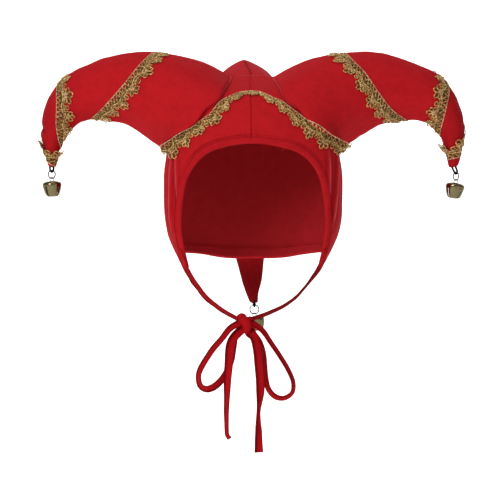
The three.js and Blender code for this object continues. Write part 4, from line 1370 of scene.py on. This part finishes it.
HORN_TURNS = 160
HORN_RINGS = 120
TIP_LENGTH = 2.2
TIP_TURNS = (0.35, 0.7, 1.05, 1.35)
# How much fuller a horn is at its very tip than its sections give
BLUNT = {LEFT: 0.12, RIGHT: 0.4, 0: 0.0}
ROLL_RADIUS = 1.1
ROLL_WEAR_AND_SHEEN = 0.28


class HAT_OT_horns(bpy.types.Operator):
    """Makes the three stuffed horns, with the seams along their edges"""
    bl_idname = "hat.horns"
    bl_label = "Horns"

    def execute(self, context):
        for horn in HORNS.values():
            self.make(horn)
        tree = surface_of(PIECES["hood"])
        for name in ("horn_left", "horn_right"):
            self.roll(HORNS[name], tree)
        return {"FINISHED"}

    def roll(self, horn, tree):
        """The narrow roll of cloth along the seam where a side horn meets the crown."""
        alongs = np.linspace(0.0, 0.16, 90)
        line = []
        for turn in np.linspace(-0.1, 0.21, 64):
            points = horn.points(np.full(len(alongs), turn), alongs)
            rays = unit(points - HOOD_CENTRE)
            crown = settle(tree, on_hood(points), rays, 60.0)
            above = np.sum((points - crown) * rays, -1)
            line.append(points[np.argmax(above > 0.5)])
        line = blur(np.array(line), 0, 10)
        out = unit(line - HOOD_CENTRE)
        taper = np.sin(np.linspace(0.1, math.pi - 0.1, len(line))) ** 0.5
        threads = Threads()
        threads.add(line + out * 0.4, out, ROLL_RADIUS * taper, 8)
        piece = threads.build(horn.name + "_seam", [material("velvet")], MM)
        # The roll takes the pinkish painted sheen highlight, as on rubbed pile
        set_painted_mark(piece, np.full(len(piece.data.vertices), ROLL_WEAR_AND_SHEEN))
        dress(piece)

    def make(self, horn):
        turns = np.arange(HORN_TURNS) / HORN_TURNS
        alongs = np.linspace(0, 1, HORN_RINGS)
        down = alongs[:, None] + np.zeros((1, HORN_TURNS))
        grid = horn.grid(turns, alongs)
        around_way = np.roll(grid, -1, 1) - np.roll(grid, 1, 1)
        normal = unit(np.cross(around_way, np.gradient(grid, axis=0)))
        middle = grid.mean(1, keepdims=True)
        normal *= np.sign(np.sum(normal * (grid - middle), -1, keepdims=True).mean(1, keepdims=True))
        part = np.minimum(turns * 2 % 1, 1 - turns * 2 % 1)
        girth = np.linalg.norm(around_way, axis=-1).mean(1) * HORN_TURNS / 2
        from_seam = part[None, :] / 2 * girth[:, None]
        # A raised seam on the side horns and a sunk one on the back horn, with puckers beside them
        ridge = hump(from_seam, 0.8) * (0.4 if horn.side else -0.5) - 0.3 * hump(from_seam - 2.2, 1.3)
        run = np.cumsum(np.linalg.norm(np.diff(middle[:, 0], axis=0, prepend=middle[:1, 0]), axis=-1))
        rng = random.Random(horn.name)
        waves = run[:, None] * 2 * math.pi
        pucker = sum(np.sin(waves / rng.uniform(12, 28) + rng.uniform(0, 6)) for _ in range(3))
        ridge = ridge + 0.09 * pucker * hump(from_seam, 5.0)
        fade = smoothstep(down, 0.03, 0.14) if horn.side else smoothstep(down, 0.0, 0.03)
        blunt = BLUNT[horn.side] * smoothstep(alongs, 0.93, 1.0)
        grid = grid + (grid - middle) * blunt[:, None, None]
        slow = wrinkles(grid.reshape(-1, 3), 48.0, 0.55, horn.name).reshape(grid.shape[:2])
        grid = grid + normal * ((ridge + slow) * fade)[..., None]
        # Painted sheen highlight along the side horns' seams, as on rubbed pile, and painted shade towards
        # their tips; on the back horn a faint painted sheen highlight at its foot, painted shade in its sunk
        # seam near the foot, and painted shadow towards its tip, below the hood
        if horn.side:
            wear = 0.16 * hump(from_seam, 1.1) * fade
            shade = 0.24 * smoothstep(down, 0.6, 0.85)
        else:
            wear = 0.09 * (1 - smoothstep(down, 0.2, 0.35))
            sewn = 0.75 * hump(from_seam, 1.0) * (1 - smoothstep(down, 0.3, 0.5))
            shade = np.maximum(0.75 * smoothstep(down, 0.66, 0.9), sewn)
        if horn.side == LEFT:
            # The crease across the left horn above its bell, with painted shade in it
            near_edge = hump((turns + 0.5) % 1 - 0.56, 0.13)[None, :]
            crease = -2.2 * hump(alongs - 0.862, 0.011) + 1.0 * hump(alongs - 0.888, 0.014)
            grid = grid + normal * (crease[:, None] * near_edge)[..., None]
            shade = np.maximum(shade, 0.6 * hump(alongs - 0.864, 0.008)[:, None] * near_edge)
        seam_middle = horn.seam_point(turns).mean(0)
        cap = on_hood(seam_middle[None], 3.0)[0]
        inner = on_hood(grid[0] * 0.8 + seam_middle * 0.2, 1.5)
        tip = grid[-1].mean(0)
        ahead = unit(tip - grid[-4].mean(0)) * TIP_LENGTH
        nib = [tip + (grid[-1] - tip) * math.cos(a) + ahead * math.sin(a) for a in TIP_TURNS]
        points = np.vstack([inner, grid.reshape(-1, 3), *nib, cap, tip + ahead]) * MM
        faces = domed_faces(HORN_RINGS + 1 + len(nib), HORN_TURNS)
        piece = new_object(horn.name, points, faces, material("velvet"))
        fix_outward(piece)
        set_piece(piece, horn.name)
        start = np.zeros(HORN_TURNS)
        set_painted_mark(piece, np.concatenate([start, wear.ravel()]))
        set_painted_mark(piece, np.concatenate([start, shade.ravel(), np.repeat(shade[-1], len(nib))]), "nap")


# Lace

LACE_STEP = 0.7
LACE_COLUMNS = 23
# Depth of the lace as its threads are drawn, in mm; the set width stretches it
LACE_REACH = 18.6
# A small step round a horn and along it, which shows how its cloth lies there
NUDGE = 0.004
# The front lace lies on cloth no further back than this, in mm
LACE_BACK = 30
# How steeply it may run back, at its ends and in its middle
STEEP_ENDS = 0.9
STEEP_MIDDLE = 3.5
# Near a horn's tip the scallops stand off by this much, growing between two places before the lace's end
TIP_STAND = 4.2
STAND_FROM = 46
STAND_FULL = 20


def surface_of(*pieces):
    """One search tree over the pieces, in millimetres."""
    points, faces, start = [], [], 0
    for piece in pieces:
        points += [tuple(v.co / MM) for v in piece.data.vertices]
        faces += [tuple(i + start for i in f.vertices) for f in piece.data.polygons]
        start = len(points)
    return BVHTree.FromPolygons(points, faces)


def settle(tree, points, ways, reach):
    """Each point moved along its way to the cloth, looking in from outside."""
    out = points.copy()
    for k, (p, n) in enumerate(zip(points, ways)):
        hit = tree.ray_cast(Vector(p + n * reach), Vector(-n), 2 * reach)
        if hit[0] is not None:
            out[k] = hit[0]
    return out


class LaceBed:
    """The cloth under a run of lace: where a place along it, across it and above it lies."""

    def __init__(self, grid, normals, widths):
        self.grid = grid
        self.normals = normals
        self.widths = widths
        self.length = (len(grid) - 1) * LACE_STEP

    def place(self, along, across, lift):
        rows = np.clip(np.asarray(along) / LACE_STEP, 0, len(self.grid) - 1.001)
        columns = np.interp(across, self.widths, np.arange(len(self.widths)))
        columns = np.clip(columns, 0, len(self.widths) - 1.001)
        i, j = rows.astype(int), columns.astype(int)
        u, v = (rows - i)[:, None], (columns - j)[:, None]

        def read(field):
            low = field[i, j] * (1 - v) + field[i, j + 1] * v
            high = field[i + 1, j] * (1 - v) + field[i + 1, j + 1] * v
            return low * (1 - u) + high * u

        up = unit(read(self.normals))
        return read(self.grid) + up * np.asarray(lift)[..., None], up


def even_line(points, values, step):
    """Values read at even steps of length along a line of points."""
    run = length_along(points)
    want = np.linspace(0, run[-1], int(run[-1] / step) + 1)
    return read_at(want, run, np.stack(values, -1))


def horn_bed(horn, tree, side_name):
    """The bed of the lace that winds round a side horn: straight edge to the tip, scallops to the base."""
    wind = LACE_WIND[side_name]
    turn = np.linspace(wind["at"][0], wind["at"][-1], 1400)
    along = follow(wind, "along", turn)
    line = even_line(horn.points(turn, along), (turn, along), LACE_STEP)
    turn, along = line[:, 0], line[:, 1]
    ahead = unit(np.gradient(horn.points(turn, along), axis=0))
    widths = np.arange(LACE_COLUMNS, dtype=float)
    rows, normals = [], []
    way = None
    for _ in widths:
        here = horn.points(turn, along)
        by_turn = (horn.points(turn + NUDGE, along) - horn.points(turn - NUDGE, along)) / (2 * NUDGE)
        by_along = (here - horn.points(turn, along - NUDGE)) / NUDGE
        normal = unit(np.cross(by_turn, by_along))
        if way is None:
            way = unit(np.cross(normal, ahead))
            way *= -np.sign(np.sum(way * by_along, -1, keepdims=True))
        way = unit(way - normal * np.sum(way * normal, -1, keepdims=True))
        rows.append(here)
        normals.append(normal)
        tt = np.sum(by_turn * by_turn, -1)
        aa = np.sum(by_along * by_along, -1)
        ta = np.sum(by_turn * by_along, -1)
        wt = np.sum(by_turn * way, -1)
        wa = np.sum(by_along * way, -1)
        level = np.maximum(tt * aa - ta * ta, 1e-9)
        turn = turn + (aa * wt - ta * wa) / level
        along = np.maximum(along + (tt * wa - ta * wt) / level, 0.05)
    grid, normals = np.stack(rows, 1), np.stack(normals, 1)
    middle = horn.grid(np.linspace(0, 1, 24, endpoint=False), np.clip(line[:, 1], 0, 1)).mean(1)
    if np.sum(normals[:, 0] * (grid[:, 0] - middle)) < 0:
        normals = -normals
    grid = settle(tree, grid.reshape(-1, 3), normals.reshape(-1, 3), 6.0).reshape(grid.shape)
    return LaceBed(even_out(grid, 3, 3), unit(even_out(normals, 6, 4)), widths)


def front_bed(tree):
    """The bed of the lace across the forehead, laid on the hood and on the feet of the side horns."""
    def seen(at):
        return np.stack([follow(FRONT_LACE, "across", at), 0 * at, follow(FRONT_LACE, "up", at)], -1)

    fine = np.linspace(0, 1, 1600)
    at = even_line(seen(fine), (fine,), LACE_STEP)[:, 0]
    line = seen(at)
    ahead = unit(blur(np.gradient(line, axis=0), 0, 40))
    away = np.stack([ahead[:, 2], 0 * at, -ahead[:, 0]], -1)
    widths = np.arange(LACE_COLUMNS, dtype=float)
    share = follow(FRONT_LACE, "wide", at) / LACE_REACH
    flat = line[:, None] + away[:, None] * (widths[None, :] * share[:, None])[..., None]
    rays = flat - SEEN_FROM
    depth = np.full(rays.shape[:2], np.nan)
    for i in range(len(depth)):
        for j in range(LACE_COLUMNS):
            hit = tree.ray_cast(Vector(SEEN_FROM), Vector(rays[i, j]).normalized())
            if hit[0] is not None and hit[0].y < LACE_BACK:
                depth[i, j] = (hit[0].y - SEEN_FROM[1]) / rays[i, j, 1]
    for row in depth:
        known = ~np.isnan(row)
        if known.any():
            row[:] = np.interp(widths, widths[known], row[known])
    known = ~np.isnan(depth[:, 0])
    for j in range(LACE_COLUMNS):
        depth[:, j] = np.interp(at, at[known], depth[known, j])
    # It bridges a hollow, and at its two ends it doesn't run far back round the sides
    steep = STEEP_ENDS + (STEEP_MIDDLE - STEEP_ENDS) * smoothstep(np.minimum(at, 1 - at), 0.06, 0.2)
    across_step = share * steep / -SEEN_FROM[1]
    along_step = np.linalg.norm(np.diff(line, axis=0, prepend=line[:1]), axis=1) * steep / -SEEN_FROM[1]
    for _ in range(2):
        for i in range(1, len(depth)):
            depth[i] = np.minimum(depth[i], depth[i - 1] + along_step[i])
        for i in range(len(depth) - 2, -1, -1):
            depth[i] = np.minimum(depth[i], depth[i + 1] + along_step[i + 1])
        for j in range(1, LACE_COLUMNS):
            depth[:, j] = np.minimum(depth[:, j], depth[:, j - 1] + across_step)
        for j in range(LACE_COLUMNS - 2, -1, -1):
            depth[:, j] = np.minimum(depth[:, j], depth[:, j + 1] + across_step)
    soft = even_out(np.minimum(even_out(depth, 10, 6), depth), 5, 3)
    grid = SEEN_FROM + rays * soft[..., None]
    normals = unit(np.cross(np.gradient(grid, axis=0), np.gradient(grid, axis=1)))
    normals *= np.sign(np.sum(normals * -rays, -1, keepdims=True))
    return LaceBed(grid, unit(even_out(normals, 10, 6)), widths)


def petal(length, width, turn, at, steps=20):
    """A closed drop-shaped loop of gimp: points along and across."""
    t = np.arange(steps) / steps * 2 * math.pi
    out = length / 2 * (1 - np.cos(t))
    beside = width / 2 * np.sin(t) * (0.6 + 0.4 * np.sin(t / 2) ** 2)
    c, s = math.cos(turn), math.sin(turn)
    return at[0] + beside * c + out * s, at[1] + out * c - beside * s, np.sin(t / 2) ** 2


LOBE_TURNS = (-98, -50, 0, 50, 98)


class HAT_OT_lace(bpy.types.Operator):
    """Makes the three runs of gold lace from their threads"""
    bl_idname = "hat.lace"
    bl_label = "Lace"

    def execute(self, context):
        for side in ("left", "right"):
            name = "horn_" + side
            self.run("trim_" + side, horn_bed(HORNS[name], surface_of(PIECES[name]), side))
        self.run("trim_front", front_bed(surface_of(PIECES["hood"], *(PIECES[name] for name in HORNS))))
        return {"FINISHED"}

    def run(self, name, bed):
        rng = random.Random(name)
        threads = Threads()
        lobes = max(int(round(bed.length / (sizes().lobe_pitch / MM))), 2)
        pitch = bed.length / lobes
        fit = sizes().lace_width / MM / LACE_REACH
        stand = 0.0 if name == "trim_front" else TIP_STAND

        def lay(along, across, lift, radius, slot=0, sides=5, closed=False):
            near_tip = smoothstep(along, bed.length - STAND_FROM, bed.length - STAND_FULL)
            lift = np.asarray(lift) + stand * near_tip * (np.asarray(across) / 16) ** 2
            points, up = bed.place(np.clip(along, 0, bed.length), np.asarray(across) * fit, lift)
            threads.add(points, up, radius, sides, closed, slot)

        # The straight edge: two fine strands twisted together
        s = np.arange(0, bed.length, 0.5)
        for phase in (0, math.pi):
            turn = s * 2 * math.pi / 2.4 + phase
            lay(s, 0.5 + 0.3 * np.cos(turn), 0.8 + 0.3 * np.sin(turn), 0.34, 1, 4)
        # Dull ground threads, dark so that they stand for painted shade between the bright threads, and the
        # ladder of slanting strands over them
        s = np.arange(0, bed.length, 0.3)
        swing = np.abs(((s / 1.3) % 1) * 2 - 1)
        lay(s, 1.0 + 9.5 * swing, np.full(len(s), 0.25), 0.42, 2, 4)
        swing = np.abs(((s / 4.8) % 1) * 2 - 1)
        lay(s + 2.0 * (swing - 0.5), 0.9 + 5.0 * swing, np.full(len(s), 1.0), 0.5, 0, 4)
        # The wavy cord, with a finer one beside it
        s = np.arange(0, bed.length, 0.55)
        wave = np.cos(s / pitch * 2 * math.pi)
        lay(s, 7.0 - 1.2 * wave, 1.6 + 0.3 * wave, 0.72, 0)
        lay(s, 8.8 - 1.0 * wave, np.full(len(s), 0.95), 0.42, 1, 4)
        lay(s, 7.6 + 0.9 * np.sin(s * 2 * math.pi / 3.1), np.full(len(s), 1.0), 0.42, 0, 4)
        for k in range(lobes):
            self.lobe(lay, rng, (k + 0.5) * pitch, pitch)
        piece = threads.build(name, [material("gold"), material("rose_gold"), material("dull_gold")], MM)
        set_piece(piece, name)

    def lobe(self, lay, rng, middle, pitch):
        """One scallop: looped petals round a small heart, over duller threads that are dark as painted shade.
        """
        heart = (middle + rng.uniform(-0.5, 0.5), 10.8 + rng.uniform(-0.3, 0.3))
        t = np.arange(34) / 33
        spin = t * 6.2 * math.pi
        lay(heart[0] + (0.5 + 4.8 * t) * np.cos(spin), heart[1] + 0.4 + (0.5 + 4.2 * t) * np.sin(spin),
            np.full(34, 0.35), 0.6, 2, 4)
        for k, degrees in enumerate(LOBE_TURNS):
            turn = math.radians(degrees + rng.uniform(-7, 7))
            length = (6.0 + 1.3 * math.cos(turn)) * rng.uniform(0.94, 1.06)
            wide = 4.0 * rng.uniform(0.9, 1.1)
            rise = 0.9 + 0.5 * (k % 2)
            along, across, bow = petal(length, wide, turn, heart)
            lay(along, across, rise + 0.8 * bow, 0.6, 0, 5, True)
        t = np.arange(10) / 10 * 2 * math.pi
        lay(heart[0] + 1.2 * np.cos(t), heart[1] + 0.4 + 1.2 * np.sin(t), np.full(10, 2.1), 0.5, 1, 5, True)
        # A knob that ties this scallop to the next
        foot = (middle - pitch / 2 + 0.3, 8.0)
        for length, wide, radius, lift in ((4.6, 4.4, 0.56, 0.8), (2.4, 1.8, 0.4, 1.1)):
            along, across, bow = petal(length, wide, rng.uniform(-0.2, 0.2), foot, 14)
            if along.min() > 0:
                lay(along, across, lift + 0.3 * bow, radius, 0, 4, True)


# Bells

GAP = 0.35
BELL_HEIGHT = 17.6
BELL_WALL = 0.8
SLOT_WIDTH = 1.5
SLOT_HOLE = 0.9
SLOT_TOP = 0.56
SHANK_RADIUS = 2.1
SHANK_WIRE = 0.8
RING_RADIUS = 4.5
RING_WIRE = 0.9
RING_SHOWN = 1.25
LOOP_CORD = 2.2
LOOP_DROP = 7.0
LOOP_HALF_WIDTH = 2.0
LOOP_STEPS = 34
# How deep a cord loop's ends are sewn into the horn
LOOP_SEWN = 1.5
# A cord loop from one end round to the other, as shares of its half width and of its drop
LOOP_WIDE = (-1.0, -1.0, -0.85, 0.0, 0.85, 1.0, 1.0)
LOOP_DOWN = (0.0, 0.3, 0.8, 1.0, 0.8, 0.3, 0.0)
# Where a ring's wire starts and ends, in degrees
RING_ENDS = (128, 482)
SHANK_ENDS = (-38, 218)
SLOT_TURNS = (45, 135)
# Half of a bell's outline, as shares of its radius and height from the foot up
BELL_OUTLINE = (
    (0.0, 0.0), (0.28, 0.002), (0.5, 0.02), (0.64, 0.07), (0.74, 0.16), (0.83, 0.3), (0.91, 0.46),
    (0.97, 0.62), (1.0, 0.72), (1.0, 0.78), (0.97, 0.83), (0.87, 0.885), (0.7, 0.93), (0.48, 0.965),
    (0.24, 0.99), (0.0, 1.0),
)
# Each set: side, horn, and turns of ring, cord and bell in degrees; in mm, how much longer the cord is,
# how much wider the ring is and how far aside both hang; and the bell's tilt in degrees
BELL_SETS = (
    ("left", "horn_left", 40, -90, 8, 0.0, 0.0, 0.0, -3),
    ("right", "horn_right", -57, -90, -7, 2.0, 0.0, 3.0, 9),
    ("back", "horn_back", 12, 25, 20, -1.0, 0.7, 0.8, -10),
)
BAR_FACES = ((0, 1, 3, 2), (4, 6, 7, 5), (0, 4, 5, 1), (2, 3, 7, 6), (0, 2, 6, 4), (1, 5, 7, 3))


def lathe(name, outline, sides=48):
    """A closed body turned round the upright."""
    rows = outline[1:-1]
    angle = np.arange(sides) * 2 * math.pi / sides
    points = [(x * math.cos(a), x * math.sin(a), z) for x, z in rows for a in angle]
    points += [(0, 0, outline[0][1]), (0, 0, outline[-1][1])]
    return new_object(name, points, domed_faces(len(rows), sides))


def cut(piece, tool, way="DIFFERENCE"):
    """Cuts a piece by another, or joins them, and drops the tool."""
    work = piece.modifiers.new("cut", "BOOLEAN")
    work.operation = way
    work.solver = "EXACT"
    work.object = tool
    apply_modifiers(piece)
    bpy.data.objects.remove(tool)


def wire_ring(name, radius, wire, turns, steps=48):
    """A ring of wire standing upright, open between its two ends."""
    a = np.radians(np.linspace(*turns, steps + 1))
    path = np.stack([radius * np.cos(a), 0 * a, radius * np.sin(a)], -1)
    threads = Threads()
    threads.add(path, np.tile([0.0, 1.0, 0.0], (len(a), 1)), wire / 2, 10)
    return threads.build(name, [])


class HAT_OT_bells(bpy.types.Operator):
    """Makes the cord loops, jump rings and jingle bells at the horns' tips"""
    bl_idname = "hat.bells"
    bl_label = "Bells"

    def execute(self, context):
        for entry in BELL_SETS:
            self.make(*entry)
        return {"FINISHED"}

    def make(self, side, horn, turn, cord_turn, bell_turn, longer, wider, aside, tilt):
        hang = HORNS[horn].points(np.linspace(0, 1, 24, endpoint=False), np.ones(24)).mean(0)
        loop_low = -LOOP_DROP - longer
        ring_radius = RING_RADIUS + wider
        ring_middle = loop_low + LOOP_CORD / 2 + GAP + RING_WIRE / 2 - ring_radius
        shank_top = ring_middle - ring_radius + RING_WIRE / 2 + GAP + SHANK_WIRE
        foot = shank_top - (2 * SHANK_RADIUS - SHANK_WIRE / 2) - BELL_HEIGHT
        place = Matrix.Translation(Vector(hang * MM)) @ Matrix.Scale(MM, 4)
        pulled = Matrix.Translation((aside, 0, 0))
        self.cord_loop(side, place, loop_low, math.radians(cord_turn), aside)

        ring = wire_ring("ring_" + side, ring_radius, RING_SHOWN, RING_ENDS)
        spin = pulled @ Matrix.Rotation(math.radians(turn), 4, "Z")
        ring.data.transform(place @ spin @ Matrix.Translation((0, 0, ring_middle)))
        ring.data.materials.append(material("steel"))
        set_piece(ring, "ring_" + side)

        bell = self.shell("bell_" + side)
        marks = self.inside_marks(bell)
        top = foot + BELL_HEIGHT + SHANK_RADIUS
        lean = Matrix.Translation((0, 0, top)) @ Matrix.Rotation(math.radians(tilt), 4, "Y")
        lean = lean @ Matrix.Translation((0, 0, -top))
        straight = pulled @ lean @ Matrix.Rotation(math.radians(bell_turn), 4, "Z")
        bell.data.transform(place @ straight @ Matrix.Translation((0, 0, foot)))
        bell.data.materials.clear()
        bell.data.materials.append(material("brass"))
        bell.data.materials.append(material("bell_inside"))
        bell.data.polygons.foreach_set("material_index", marks)
        set_piece(bell, "bell_" + side)
        for item in frame_nodes("bell_pea_" + side):
            for held in item.material_slots:
                held.material = material("steel")

    def cord_loop(self, side, place, low, turn, aside):
        knots = np.linspace(0, 1, len(LOOP_WIDE))
        share = weights(knots, np.linspace(0, 1, LOOP_STEPS))
        wide = share @ np.array(LOOP_WIDE)
        down = share @ np.array(LOOP_DOWN)
        cross = np.array([-math.sin(turn), math.cos(turn), 0.0])
        path = cross * (wide * LOOP_HALF_WIDTH)[:, None]
        path[:, 0] += aside * smoothstep(down, 0, 1)
        path[:, 2] = np.where(down < 0.02, LOOP_SEWN, LOOP_SEWN + (low - LOOP_SEWN) * down)
        up = np.tile([math.cos(turn), math.sin(turn), 0.0], (LOOP_STEPS, 1))
        threads = Threads()
        threads.add(path, up, LOOP_CORD / 2, 10)
        loop = threads.build("cord_loop_" + side, [material("elastic")])
        loop.data.transform(place)
        set_piece(loop, "cord_loop_" + side)

    def inside_marks(self, bell):
        """1 for each face of the bell's hollow, which takes near-black metal as painted shade, and 0 for the
        others.
        """
        middle = Vector((0, 0, BELL_HEIGHT / 2))
        limit = sizes().bell_radius / MM - BELL_WALL / 2
        marks = []
        for face in bell.data.polygons:
            inward = face.normal.dot(face.center - middle) < 0.3
            low = face.center.z < BELL_HEIGHT - BELL_WALL / 2
            marks.append(int(inward and low and face.center.xy.length < limit))
        return marks

    def shell(self, name):
        radius = sizes().bell_radius / MM
        outer = [(x * radius, z * BELL_HEIGHT) for x, z in BELL_OUTLINE]
        wide = (radius - BELL_WALL) / radius
        tall = (BELL_HEIGHT - 2 * BELL_WALL) / BELL_HEIGHT
        inner = [(x * wide, z * tall + BELL_WALL) for x, z in outer]
        bell = lathe(name, outer)
        hollow = lathe("hollow", inner)
        fix_outward(bell)
        fix_outward(hollow)
        cut(bell, hollow)
        slot_top = SLOT_TOP * BELL_HEIGHT
        far = 1.5 * radius
        lying = Matrix.Rotation(math.radians(90), 4, "Y")
        for degrees in SLOT_TURNS:
            turn = math.radians(degrees)
            slot = new_object("slot", self.bar(far, slot_top, turn), BAR_FACES, smooth=False)
            fix_outward(slot)
            cut(bell, slot)
            hole = lathe("hole", [(0, -far), (SLOT_HOLE, -far), (SLOT_HOLE, far), (0, far)], 20)
            upright = Matrix.Translation((0, 0, slot_top)) @ Matrix.Rotation(turn, 4, "Z")
            hole.data.transform(upright @ lying)
            fix_outward(hole)
            cut(bell, hole)
        shank = wire_ring("shank", SHANK_RADIUS, SHANK_WIRE, SHANK_ENDS, 24)
        shank.data.transform(Matrix.Translation((0, 0, BELL_HEIGHT + SHANK_RADIUS - SHANK_WIRE)))
        cut(bell, shank, "UNION")
        soft = bell.modifiers.new("edge", "BEVEL")
        soft.width = 0.12
        soft.segments = 2
        soft.limit_method = "ANGLE"
        soft.angle_limit = math.radians(40)
        apply_modifiers(bell)
        return bell

    def bar(self, far, top, turn):
        """The corners of a flat bar across the bell."""
        half = SLOT_WIDTH / 2
        c, s = math.cos(turn), math.sin(turn)
        corners = [(x, y, z) for x in (-far, far) for y in (-half, half) for z in (-top, top)]
        return [(x * c - y * s, x * s + y * c, z) for x, y, z in corners]


def frame_nodes(name):
    items = bpy.context.scene.objects
    return [item for item in items if item.type == "MESH" and item.name.split(".")[0] == name]


STEPS = ("stage", "finishes", "ties", "hood", "binding", "horns", "lace", "bells")


class HAT_PT_panel(bpy.types.Panel):
    bl_label = "Jester hat"
    bl_idname = "HAT_PT_panel"
    bl_space_type = "VIEW_3D"
    bl_region_type = "UI"
    bl_category = "Hat"

    def draw(self, context):
        column = self.layout.column()
        for step in STEPS:
            column.operator("hat." + step)
        for group in (context.scene.hat_sizes, context.scene.hat_colours):
            for key in group.__annotations__:
                column.prop(group, key)


CLASSES = (
    HatSizes,
    HatColours,
    HAT_OT_stage,
    HAT_OT_finishes,
    HAT_OT_ties,
    HAT_OT_hood,
    HAT_OT_binding,
    HAT_OT_horns,
    HAT_OT_lace,
    HAT_OT_bells,
    HAT_PT_panel,
)


def register():
    for kind in CLASSES:
        bpy.utils.register_class(kind)
    bpy.types.Scene.hat_sizes = PointerProperty(type=HatSizes)
    bpy.types.Scene.hat_colours = PointerProperty(type=HatColours)


def unregister():
    del bpy.types.Scene.hat_colours
    del bpy.types.Scene.hat_sizes
    for kind in reversed(CLASSES):
        bpy.utils.unregister_class(kind)


def main():
    register()
    for step in STEPS:
        getattr(bpy.ops.hat, step)()


if __name__ == "__main__":
    main()
